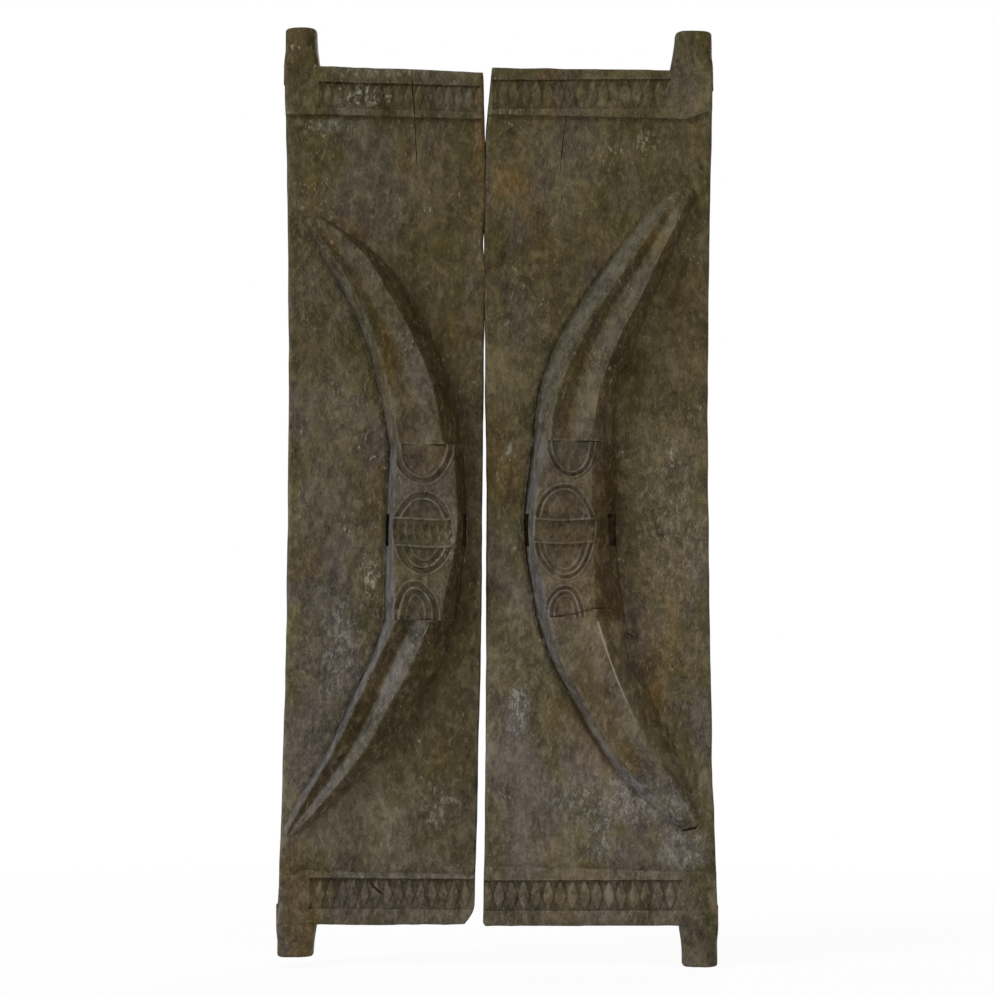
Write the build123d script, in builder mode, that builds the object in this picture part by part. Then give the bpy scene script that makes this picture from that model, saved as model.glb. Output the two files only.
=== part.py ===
"""A pair of hewn plank door leaves with pivot pins, carved horns and a tunnel for a locking bar.

Seen from the front: x runs to the right, z runs up and the carved front faces -y.
The field of both leaves lies in the plane y = 0, and z = 0 is the end of the lowest pin.
"""
import os
from dataclasses import dataclass

from build123d import *

os.makedirs("parts", exist_ok=True)

# The pair
pivot_spacing = 636.0
meeting_gap = 0.4
plank_thickness = 58.0
field_recess = 6.0
pin_end_chamfer = 4.0
overrun = 20.0

# Horns and the locking bar's tunnel
horn_relief = 46.0
horn_root = 8.0
band_swell = 4.0
band_brow_share = 0.5
carving_depth = 2.6
fillet_width = 3.6
tunnel_height = 50.0
tunnel_depth = 24.0
tunnel_level = 685.0

# Chip-carved rows, scored lines and cracks
top_chip_depth = 2.0
bottom_chip_depth = 2.8
chip_taper = 42.0
chip_width_share = 0.93
chip_length_share = 0.95
line_width = 2.2
line_depth = 1.7
top_line_gap = 2.8
bottom_line_gap = 1.6
crack_width = 2.2
crack_depth = 4.5

# Left leaf
left_reach = 298.0
left_foot_level = 15.5
left_bottom_pin_length = 52.0
left_bottom_pin_radius = 28.5
left_body_height = 1368.5
left_top_fall = 12.5
left_top_pin_length = 64.0
left_top_pin_radius = 26.0
left_top_root_run = 5.0
left_bottom_root_run = 4.0
left_root_rise = 18.0
left_edge_hollow = 12.0
left_meeting_slack = 16.0
left_corner_run = 14.0
left_corner_rise = 24.0
left_meeting_edge_shares = ((0.32, 0.47), (0.6, 0.24), (0.85, 0.0))
left_meeting_ends_shares = (1.1, 0.26)
left_top_band = 80.5
left_bottom_band = 83.0
left_step_fall = 8.0
left_top_corner = 0.0
left_bottom_corner = 25.0
left_horn_bottom = 204.0
left_band_bottom = 541.5
left_band_top = 819.0
left_horn_top = 1182.0
left_lower_crest_shares = (0.86, 1.0)
left_upper_crest_shares = (0.9, 1.0)
left_lower_limb_shares = (
    (0.0, 0.465, 0.53, 0.618, 0.714, 0.842, 1.0, 0.8),
    (0.2, 0.384, 0.431, 0.533, 0.665, 0.79, 0.95, 0.62),
    (0.4, 0.271, 0.326, 0.451, 0.554, 0.652, 0.84, 0.6),
    (0.6, 0.167, 0.211, 0.321, 0.422, 0.511, 0.68, 0.6),
    (0.82, 0.024, 0.064, 0.13, 0.199, 0.267, 0.44, 0.6),
    (1.0, -0.077, -0.054, -0.04, -0.012, 0.017, 0.2, 0.6),
)
left_band_shares = (
    (0.0, 0.465, 0.53, 0.765, 0.845),
    (0.5, 0.474, 0.516, 0.85, 0.9),
    (1.0, 0.49, 0.545, 0.835, 0.885),
)
left_upper_limb_shares = (
    (0.0, 0.49, 0.545, 0.66, 0.775, 0.878, 1.0, 0.84),
    (0.2, 0.44, 0.5, 0.625, 0.735, 0.841, 0.97, 0.71),
    (0.43, 0.365, 0.424, 0.528, 0.635, 0.739, 0.88, 0.7),
    (0.65, 0.248, 0.306, 0.373, 0.489, 0.608, 0.74, 0.7),
    (0.83, 0.122, 0.176, 0.233, 0.348, 0.432, 0.54, 0.7),
    (1.0, 0.03, 0.055, 0.085, 0.12, 0.15, 0.2, 0.7),
)
left_cup_half_width = 47.0
left_cup_height = 58.0
left_cup_center = 201.0
left_ring_half_width = 48.5
left_ring_half_height = 65.5
left_ring_center = 201.5
left_ring_level = 679.0
left_arch_half_width = 32.0
left_arch_height = 60.0
left_arch_center = 194.5
left_motif_spread = 11.5
left_rail_spacing = 43.0
left_top_row_center = 159.5
left_top_row_drop = 46.25
left_top_row_length = 243.0
left_top_row_height = 40.0
left_top_row_count = 15
left_top_row_tilt = -1.6
left_bottom_row_center = 154.5
left_bottom_row_rise = 47.0
left_bottom_row_length = 245.0
left_bottom_row_height = 47.5
left_bottom_row_count = 14
left_bottom_row_tilt = -0.4
left_crack_along = 180.0
left_crack_lean = 9.0
left_crack_drop = 168.0

# Right leaf
right_foot_level = 0.0
right_bottom_pin_length = 66.0
right_bottom_pin_radius = 28.0
right_body_height = 1360.5
right_top_fall = -5.0
right_top_pin_length = 67.5
right_top_pin_radius = 30.0
right_top_root_run = 9.0
right_bottom_root_run = 4.0
right_root_rise = 22.0
right_edge_hollow = 11.0
right_meeting_slack = 12.5
right_corner_run = 3.0
right_corner_rise = 4.0
right_meeting_edge_shares = ((0.2, 0.19), (0.5, 0.25), (0.85, 0.0), (0.93, 0.2))
right_meeting_ends_shares = (-0.08, 1.0)
right_top_band = 79.0
right_bottom_band = 83.0
right_step_fall = -9.0
right_top_corner = 16.0
right_bottom_corner = 0.0
right_horn_bottom = 218.0
right_band_bottom = 546.0
right_band_top = 824.5
right_horn_top = 1238.0
right_lower_crest_shares = (1.0, 0.92)
right_upper_crest_shares = (1.0, 0.9)
right_lower_limb_shares = (
    (0.0, 0.345, 0.484, 0.555, 0.701, 0.759, 1.0, 0.9),
    (0.2, 0.298, 0.422, 0.504, 0.648, 0.691, 0.95, 0.85),
    (0.39, 0.216, 0.348, 0.426, 0.542, 0.595, 0.84, 0.84),
    (0.58, 0.124, 0.255, 0.338, 0.436, 0.494, 0.68, 0.84),
    (0.77, 0.051, 0.139, 0.213, 0.288, 0.365, 0.5, 0.84),
    (1.0, -0.007, 0.01, 0.037, 0.064, 0.117, 0.24, 0.84),
)
right_band_shares = (
    (0.0, 0.345, 0.484, 0.701, 0.759),
    (0.5, 0.385, 0.5, 0.775, 0.814),
    (1.0, 0.386, 0.501, 0.701, 0.776),
)
right_upper_limb_shares = (
    (0.0, 0.386, 0.501, 0.602, 0.701, 0.776, 1.0, 0.85),
    (0.17, 0.376, 0.471, 0.579, 0.663, 0.754, 0.97, 0.73),
    (0.36, 0.299, 0.393, 0.488, 0.567, 0.682, 0.9, 0.72),
    (0.55, 0.207, 0.273, 0.375, 0.436, 0.55, 0.78, 0.72),
    (0.73, 0.11, 0.17, 0.229, 0.285, 0.391, 0.62, 0.72),
    (0.88, 0.035, 0.076, 0.124, 0.16, 0.248, 0.42, 0.72),
    (1.0, -0.021, 0.003, 0.027, 0.045, 0.09, 0.2, 0.72),
)
right_cup_half_width = 36.0
right_cup_height = 53.0
right_cup_center = 201.0
right_ring_half_width = 49.0
right_ring_half_height = 75.5
right_ring_center = 212.5
right_ring_level = 681.5
right_arch_half_width = 29.5
right_arch_height = 48.0
right_arch_center = 212.5
right_motif_spread = 8.5
right_rail_spacing = 36.5
right_top_row_center = 182.5
right_top_row_drop = 41.0
right_top_row_length = 269.0
right_top_row_height = 46.5
right_top_row_count = 15
right_top_row_tilt = 0.3
right_bottom_row_center = 190.5
right_bottom_row_rise = 46.0
right_bottom_row_length = 306.0
right_bottom_row_height = 46.5
right_bottom_row_count = 16
right_bottom_row_tilt = 0.2
right_crack_along = 205.5
right_crack_lean = 12.0
right_crack_drop = 169.0

# Planes and directions shared by both leaves
backward = (0, 1, 0)
front_plane = Plane.XZ.offset(field_recess)
pin_depth = plank_thickness / 2 - field_recess


@dataclass(frozen=True)
class Row:
    """One chip-carved row: place along the leaf, level, length, height, number, tilt and cuts."""

    center: float
    level: float
    length: float
    height: float
    count: int
    tilt: float
    chip_depth: float
    line_gap: float


@dataclass(frozen=True)
class Oval:
    """A carved oval: its place along the leaf, its level and its half sizes."""

    center: float
    level: float
    half_width: float
    half_height: float


@dataclass(frozen=True)
class Leaf:
    """The sizes of one leaf. Side is -1 for the left leaf and 1 for the right one."""

    side: int
    reach: float
    foot: float
    bottom_pin_radius: float
    low: float
    high: float
    top: float
    top_pin_radius: float
    top_fall: float
    top_root_run: float
    bottom_root_run: float
    root_rise: float
    edge_hollow: float
    meeting_slack: float
    meeting_edge_shares: tuple
    meeting_ends_shares: tuple
    corner_run: float
    corner_rise: float

    def at(self, along, level):
        """Point of the front view, from its distance off the pivot axis and its height."""
        return (self.side * (pivot_spacing / 2 - along), level)

    def section(self, along, height):
        """Point of a level section, from its distance off the pivot axis and its relief."""
        return (self.side * (pivot_spacing / 2 - along), -height)

    def meeting(self, height_share, slack_share):
        """Point of the meeting edge, set back from the leaf's full reach."""
        level = self.low + height_share * (self.high - self.low)
        return self.at(self.reach - slack_share * self.meeting_slack, level)

    def from_left(self, along_shares):
        """Distances off the pivot axis for shares of the reach, in order from left to right."""
        return [share * self.reach for share in along_shares][:: -self.side]


def outline(leaf):
    """Front view of a leaf: hollow pivot edge, wavy meeting edge, worn lower corner."""
    foot_share, top_share = leaf.meeting_ends_shares
    foot_reach = leaf.reach - foot_share * leaf.meeting_slack
    top_reach = leaf.reach - top_share * leaf.meeting_slack
    wide = min(leaf.top_pin_radius, leaf.bottom_pin_radius)
    middle = (leaf.low + leaf.high) / 2
    with BuildSketch(front_plane) as sketch:
        with BuildLine():
            ThreePointArc(
                leaf.at(-leaf.bottom_pin_radius, leaf.low),
                leaf.at(leaf.edge_hollow - wide, middle),
                leaf.at(-leaf.top_pin_radius, leaf.high),
            )
            Polyline(
                leaf.at(-leaf.top_pin_radius, leaf.high),
                leaf.at(-leaf.top_pin_radius, leaf.high + leaf.root_rise),
                leaf.at(leaf.top_pin_radius, leaf.high + leaf.root_rise),
                leaf.at(leaf.top_pin_radius + leaf.top_root_run, leaf.high),
                leaf.at(top_reach, leaf.high - leaf.top_fall),
            )
            Spline(
                leaf.at(top_reach, leaf.high - leaf.top_fall),
                *[leaf.meeting(*shares) for shares in reversed(leaf.meeting_edge_shares)],
                leaf.at(foot_reach, leaf.low + leaf.corner_rise),
            )
            Polyline(
                leaf.at(foot_reach, leaf.low + leaf.corner_rise),
                leaf.at(foot_reach - leaf.corner_run, leaf.low),
                leaf.at(leaf.bottom_pin_radius + leaf.bottom_root_run, leaf.low),
                leaf.at(leaf.bottom_pin_radius, leaf.low - leaf.root_rise),
                leaf.at(-leaf.bottom_pin_radius, leaf.low - leaf.root_rise),
                leaf.at(-leaf.bottom_pin_radius, leaf.low),
            )
        make_face()
    return sketch.sketch


def limb(leaf, start, end, crest_shares, station_shares):
    """Tapering limb of the horn: two crests with a groove between, through level sections."""
    outer_crest_share, inner_crest_share = crest_shares
    with BuildPart() as horn:
        for rise_share, *along_shares, relief_share, groove_share in station_shares:
            outer, outer_crest, groove, inner_crest, inner = (
                share * leaf.reach for share in along_shares
            )
            relief = horn_relief * relief_share
            with BuildSketch(Plane.XY.offset(start + rise_share * (end - start))):
                with BuildLine():
                    Polyline(
                        leaf.section(outer, -horn_root),
                        leaf.section(outer, 0),
                        leaf.section(outer_crest, relief * outer_crest_share),
                        leaf.section(groove, relief * groove_share),
                        leaf.section(inner_crest, relief * inner_crest_share),
                        leaf.section(inner, 0),
                        leaf.section(inner, -horn_root),
                        close=True,
                    )
                make_face()
        loft()
    return horn.part


def band(leaf, start, end, station_shares, relief):
    """Swelling middle of the horn: a steep wall on its left and a round fall on its right."""
    with BuildPart() as block:
        for rise_share, *along_shares in station_shares:
            wall, crest, brow, foot = leaf.from_left(along_shares)
            top = relief + 4 * rise_share * (1 - rise_share) * band_swell
            with BuildSketch(Plane.XY.offset(start + rise_share * (end - start))):
                with BuildLine():
                    Polyline(
                        leaf.section(crest, top),
                        leaf.section(wall, 0),
                        leaf.section(wall, -horn_root),
                        leaf.section(foot, -horn_root),
                        leaf.section(foot, 0),
                    )
                    Bezier(
                        leaf.section(foot, 0),
                        leaf.section(foot, top * band_brow_share),
                        leaf.section(brow, top),
                        leaf.section(crest, top),
                    )
                make_face()
        loft()
    return block.part


def band_front(leaf, start, end, station_shares):
    """Front view of a band, from the top of its wall to the end of its round fall."""
    crest_line = []
    foot_line = []
    for rise_share, *along_shares in station_shares:
        _, crest, _, foot = leaf.from_left(along_shares)
        level = start + rise_share * (end - start)
        crest_line.append(leaf.at(crest, level))
        foot_line.append(leaf.at(foot, level))
    with BuildSketch() as sketch:
        Polygon(*crest_line, *reversed(foot_line), align=None)
    return sketch.sketch


def ground(leaf, oval, spread):
    """Sunk ground of an oval, with a second raised fillet inside its rim."""
    inset = fillet_width / 2
    with BuildSketch() as sketch:
        with Locations(leaf.at(oval.center, oval.level)):
            Ellipse(oval.half_width - inset, oval.half_height - inset)
            Ellipse(
                oval.half_width - spread + inset, oval.half_height - spread + inset, mode=Mode.SUBTRACT
            )
            Ellipse(oval.half_width - spread - inset, oval.half_height - spread - inset)
    return sketch.sketch


def railed_ground(leaf, oval, spread, rail_spacing):
    """Sunk ground of the ring: two rails cross it and its inner fillet stops at them."""
    inset = fillet_width / 2
    with BuildSketch() as fillets:
        with Locations(leaf.at(oval.center, oval.level)):
            Ellipse(oval.half_width - spread + inset, oval.half_height - spread + inset)
            Ellipse(
                oval.half_width - spread - inset, oval.half_height - spread - inset, mode=Mode.SUBTRACT
            )
            Rectangle(2 * oval.half_width, rail_spacing, mode=Mode.SUBTRACT)
            with GridLocations(0, rail_spacing, 1, 2):
                Rectangle(2 * oval.half_width, fillet_width)
    with BuildSketch() as sketch:
        with Locations(leaf.at(oval.center, oval.level)):
            Ellipse(oval.half_width - inset, oval.half_height - inset)
        add(fillets.sketch, mode=Mode.SUBTRACT)
    return sketch.sketch


def motifs(grounds, front, core):
    """Grounds cut into the front of a band, as deep as its core allows."""
    reach = horn_relief + band_swell + overrun
    with BuildPart() as carving:
        with BuildSketch(Plane.XZ.offset(reach)):
            add(grounds)
            add(front, mode=Mode.INTERSECT)
        extrude(amount=-reach)
        add(core, mode=Mode.SUBTRACT)
    return carving.part


def row_plane(leaf, row):
    """Plane of a chip-carved row: centred on it, along it, facing forwards."""
    x, z = leaf.at(row.center, row.level)
    along = Vector(1, 0, 0).rotate(Axis.Y, -row.tilt)
    return Plane(origin=(x, -field_recess, z), x_dir=along, z_dir=(0, -1, 0))


def row_cuts(leaf, row):
    """Chips above and below a row of lozenges, with a scored line along each side of the row."""
    pitch = row.length / row.count
    half_width = chip_width_share * pitch / 2
    half_height = row.height / 2
    tip = half_height * (1 - chip_length_share)
    plane = row_plane(leaf, row)
    with BuildPart() as cuts:
        with BuildSketch(plane):
            with GridLocations(pitch, 0, row.count + 1, 1):
                Polygon((-half_width, half_height), (0, tip), (half_width, half_height), align=None)
                Polygon((-half_width, -half_height), (half_width, -half_height), (0, -tip), align=None)
        extrude(amount=-row.chip_depth, taper=chip_taper)
        with BuildSketch(plane):
            with GridLocations(0, row.height + 2 * row.line_gap, 1, 2):
                Rectangle(row.length, line_width)
        extrude(amount=-line_depth)
    return cuts.part


def field_shape(leaf, top_band, bottom_band, step_fall, top_corner, bottom_corner):
    """Front view of the sunk field between the two carved bands."""
    lower = leaf.low + bottom_band
    upper = leaf.high - top_band
    beyond = leaf.reach + overrun
    behind = -leaf.bottom_pin_radius - overrun
    turn = leaf.bottom_pin_radius / 2
    with BuildSketch(front_plane) as sketch:
        with BuildLine():
            Polyline(
                leaf.at(behind, lower - bottom_corner * (turn - behind) / (2 * leaf.bottom_pin_radius)),
                leaf.at(turn, lower),
                leaf.at(beyond, lower - step_fall),
                leaf.at(beyond, upper - step_fall),
                leaf.at(turn, upper),
                leaf.at(behind, upper + top_corner * (turn - behind) / (2 * leaf.bottom_pin_radius)),
                close=True,
            )
        make_face()
    return sketch.sketch


def crack(leaf, along, top, lean, drop):
    """Split in the wood: widest at its top, drifting aside and closing as it drops."""
    with BuildPart() as split_wood:
        with BuildSketch(front_plane):
            Polygon(
                leaf.at(along - crack_width / 2, top),
                leaf.at(along + crack_width / 2, top),
                leaf.at(along + lean, top - drop),
                align=None,
            )
        extrude(amount=-(field_recess + crack_depth))
    return split_wood.part


def pin(leaf, level, radius, end):
    """Round pivot pin from its squared root at a level to its worn end."""
    x, _ = leaf.at(0, level)
    with BuildPart() as post:
        with BuildSketch(Plane.XY.offset(level)):
            with Locations((x, pin_depth)):
                Circle(radius)
        extrude(amount=end - level)
        rims = post.edges().filter_by(GeomType.CIRCLE).sort_by(Axis.Z)
        chamfer(rims[-1] if end > level else rims[0], pin_end_chamfer)
    return post.part


left = Leaf(
    side=-1,
    reach=left_reach,
    foot=left_foot_level,
    bottom_pin_radius=left_bottom_pin_radius,
    low=left_foot_level + left_bottom_pin_length,
    high=left_foot_level + left_bottom_pin_length + left_body_height,
    top=left_foot_level + left_bottom_pin_length + left_body_height + left_top_pin_length,
    top_pin_radius=left_top_pin_radius,
    top_fall=left_top_fall,
    top_root_run=left_top_root_run,
    bottom_root_run=left_bottom_root_run,
    root_rise=left_root_rise,
    edge_hollow=left_edge_hollow,
    meeting_slack=left_meeting_slack,
    meeting_edge_shares=left_meeting_edge_shares,
    meeting_ends_shares=left_meeting_ends_shares,
    corner_run=left_corner_run,
    corner_rise=left_corner_rise,
)
left_top_row = Row(
    left_top_row_center,
    left.high - left_top_fall / 2 - left_top_row_drop,
    left_top_row_length,
    left_top_row_height,
    left_top_row_count,
    left_top_row_tilt,
    top_chip_depth,
    top_line_gap,
)
left_bottom_row = Row(
    left_bottom_row_center,
    left.low + left_bottom_row_rise,
    left_bottom_row_length,
    left_bottom_row_height,
    left_bottom_row_count,
    left_bottom_row_tilt,
    bottom_chip_depth,
    bottom_line_gap,
)
right = Leaf(
    side=1,
    reach=pivot_spacing - left_reach - meeting_gap,
    foot=right_foot_level,
    bottom_pin_radius=right_bottom_pin_radius,
    low=right_foot_level + right_bottom_pin_length,
    high=right_foot_level + right_bottom_pin_length + right_body_height,
    top=right_foot_level + right_bottom_pin_length + right_body_height + right_top_pin_length,
    top_pin_radius=right_top_pin_radius,
    top_fall=right_top_fall,
    top_root_run=right_top_root_run,
    bottom_root_run=right_bottom_root_run,
    root_rise=right_root_rise,
    edge_hollow=right_edge_hollow,
    meeting_slack=right_meeting_slack,
    meeting_edge_shares=right_meeting_edge_shares,
    meeting_ends_shares=right_meeting_ends_shares,
    corner_run=right_corner_run,
    corner_rise=right_corner_rise,
)
right_top_row = Row(
    right_top_row_center,
    right.high - right_top_fall / 2 - right_top_row_drop,
    right_top_row_length,
    right_top_row_height,
    right_top_row_count,
    right_top_row_tilt,
    top_chip_depth,
    top_line_gap,
)
right_bottom_row = Row(
    right_bottom_row_center,
    right.low + right_bottom_row_rise,
    right_bottom_row_length,
    right_bottom_row_height,
    right_bottom_row_count,
    right_bottom_row_tilt,
    bottom_chip_depth,
    bottom_line_gap,
)

# Horns and their carving
left_lower_limb = limb(
    left, left_band_bottom, left_horn_bottom, left_lower_crest_shares, left_lower_limb_shares
)
left_upper_limb = limb(
    left, left_band_top, left_horn_top, left_upper_crest_shares, left_upper_limb_shares
)
left_band = band(left, left_band_bottom, left_band_top, left_band_shares, horn_relief)
left_core = band(
    left, left_band_bottom, left_band_top, left_band_shares, horn_relief - carving_depth
)
left_cup = Oval(left_cup_center, left_band_top, left_cup_half_width, left_cup_height)
left_ring = Oval(left_ring_center, left_ring_level, left_ring_half_width, left_ring_half_height)
left_arch = Oval(left_arch_center, left_band_bottom, left_arch_half_width, left_arch_height)
left_motifs = motifs(
    [
        ground(left, left_cup, left_motif_spread),
        railed_ground(left, left_ring, left_motif_spread, left_rail_spacing),
        ground(left, left_arch, left_motif_spread),
    ],
    band_front(left, left_band_bottom, left_band_top, left_band_shares),
    left_core,
)
right_lower_limb = limb(
    right, right_band_bottom, right_horn_bottom, right_lower_crest_shares, right_lower_limb_shares
)
right_upper_limb = limb(
    right, right_band_top, right_horn_top, right_upper_crest_shares, right_upper_limb_shares
)
right_band = band(right, right_band_bottom, right_band_top, right_band_shares, horn_relief)
right_core = band(
    right, right_band_bottom, right_band_top, right_band_shares, horn_relief - carving_depth
)
right_cup = Oval(right_cup_center, right_band_top, right_cup_half_width, right_cup_height)
right_ring = Oval(right_ring_center, right_ring_level, right_ring_half_width, right_ring_half_height)
right_arch = Oval(right_arch_center, right_band_bottom, right_arch_half_width, right_arch_height)
right_motifs = motifs(
    [
        ground(right, right_cup, right_motif_spread),
        railed_ground(right, right_ring, right_motif_spread, right_rail_spacing),
        ground(right, right_arch, right_motif_spread),
    ],
    band_front(right, right_band_bottom, right_band_top, right_band_shares),
    right_core,
)

with BuildPart() as left_leaf:
    extrude(outline(left), amount=plank_thickness, dir=backward)
    extrude(
        field_shape(
            left, left_top_band, left_bottom_band, left_step_fall, left_top_corner, left_bottom_corner
        ),
        amount=field_recess,
        dir=backward,
        mode=Mode.SUBTRACT,
    )
    add(pin(left, left.high + left_root_rise, left_top_pin_radius, left.top))
    add(pin(left, left.low - left_root_rise, left_bottom_pin_radius, left.foot))
    add([left_lower_limb, left_upper_limb, left_band])
    add(left_motifs, mode=Mode.SUBTRACT)
    with Locations((left.at(left.reach / 2, 0)[0], -tunnel_depth / 2, tunnel_level)):
        Box(left.reach, tunnel_depth, tunnel_height, mode=Mode.SUBTRACT)
    add(row_cuts(left, left_top_row), mode=Mode.SUBTRACT)
    add(row_cuts(left, left_bottom_row), mode=Mode.SUBTRACT)
    add(
        crack(left, left_crack_along, left.high, left_crack_lean, left_crack_drop),
        mode=Mode.SUBTRACT,
    )

with BuildPart() as right_leaf:
    extrude(outline(right), amount=plank_thickness, dir=backward)
    extrude(
        field_shape(
            right, right_top_band, right_bottom_band, right_step_fall, right_top_corner, right_bottom_corner
        ),
        amount=field_recess,
        dir=backward,
        mode=Mode.SUBTRACT,
    )
    add(pin(right, right.high + right_root_rise, right_top_pin_radius, right.top))
    add(pin(right, right.low - right_root_rise, right_bottom_pin_radius, right.foot))
    add([right_lower_limb, right_upper_limb, right_band])
    add(right_motifs, mode=Mode.SUBTRACT)
    with Locations((right.at(right.reach / 2, 0)[0], -tunnel_depth / 2, tunnel_level)):
        Box(right.reach, tunnel_depth, tunnel_height, mode=Mode.SUBTRACT)
    add(row_cuts(right, right_top_row), mode=Mode.SUBTRACT)
    add(row_cuts(right, right_bottom_row), mode=Mode.SUBTRACT)
    add(
        crack(right, right_crack_along, right.high, right_crack_lean, right_crack_drop),
        mode=Mode.SUBTRACT,
    )

left_leaf.part.label = "left_leaf"
right_leaf.part.label = "right_leaf"
export_step(left_leaf.part, "parts/left_leaf.step")
export_step(right_leaf.part, "parts/right_leaf.step")
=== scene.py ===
"""Dresses a pair of old hewn door leaves: carved horns, chip-carved bands and dark, worn wood."""

import logging
import math
from dataclasses import dataclass, field
from enum import Enum
from typing import Any, Sequence

import bpy
import numpy as np
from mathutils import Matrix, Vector

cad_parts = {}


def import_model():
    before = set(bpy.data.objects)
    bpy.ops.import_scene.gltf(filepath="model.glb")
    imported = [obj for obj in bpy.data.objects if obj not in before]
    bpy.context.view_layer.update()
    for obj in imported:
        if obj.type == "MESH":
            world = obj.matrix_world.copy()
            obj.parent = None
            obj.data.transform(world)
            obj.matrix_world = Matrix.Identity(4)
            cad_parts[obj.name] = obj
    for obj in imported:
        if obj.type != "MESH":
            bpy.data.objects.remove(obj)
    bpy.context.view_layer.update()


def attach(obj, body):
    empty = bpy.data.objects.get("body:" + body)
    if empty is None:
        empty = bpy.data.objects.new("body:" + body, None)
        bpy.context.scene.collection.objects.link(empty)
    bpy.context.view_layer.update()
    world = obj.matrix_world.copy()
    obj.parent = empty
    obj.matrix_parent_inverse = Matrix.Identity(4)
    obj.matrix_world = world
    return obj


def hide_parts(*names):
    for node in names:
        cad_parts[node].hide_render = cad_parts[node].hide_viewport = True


LOG = logging.getLogger("door")
BODY = "root"
FRAME_WIDTH = 994
NUMBER, WHOLE = "NodeSocketFloat", "NodeSocketInt"
FULL_TURN = 2.0 * math.pi
TINY = 1e-6
LEAST_LENGTH = 1e-9
BULGE_KEEP = 0.5
PAINTED_LIGHT_KEEP = 0.4

Piece = bpy.types.Object
Material = bpy.types.Material
Points = np.ndarray
Pair = tuple[float, float]
Triple = tuple[float, float, float]


class Side(Enum):
    """Which leaf, as the sign of its pivot axis along x."""

    LEFT = -1
    RIGHT = 1


class Cut(Enum):
    """How one closed mesh changes another."""

    ADD = "UNION"
    TAKE = "DIFFERENCE"


class Wire:
    """The value of one socket, with Python's operators as Math nodes."""

    def __init__(self, bench: "Bench", socket: bpy.types.NodeSocket | None) -> None:
        """Keeps the socket and the bench that adds nodes beside it."""
        self.bench = bench
        self.socket = socket

    def _math(self, operation: str, first: Any, second: Any) -> "Wire":
        """The result of one Math node on wires or numbers."""
        return self.bench.add("ShaderNodeMath", {"operation": operation}, {0: first, 1: second})

    def __add__(self, other: Any) -> "Wire":
        """Sum."""
        return self._math("ADD", self, other)

    def __radd__(self, other: Any) -> "Wire":
        """Sum, with a number in front."""
        return self._math("ADD", other, self)

    def __sub__(self, other: Any) -> "Wire":
        """Difference."""
        return self._math("SUBTRACT", self, other)

    def __rsub__(self, other: Any) -> "Wire":
        """Difference, with a number in front."""
        return self._math("SUBTRACT", other, self)

    def __mul__(self, other: Any) -> "Wire":
        """Product."""
        return self._math("MULTIPLY", self, other)

    def __rmul__(self, other: Any) -> "Wire":
        """Product, with a number in front."""
        return self._math("MULTIPLY", other, self)

    def __rtruediv__(self, other: Any) -> "Wire":
        """Quotient, with a number in front."""
        return self._math("DIVIDE", other, self)


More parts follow.
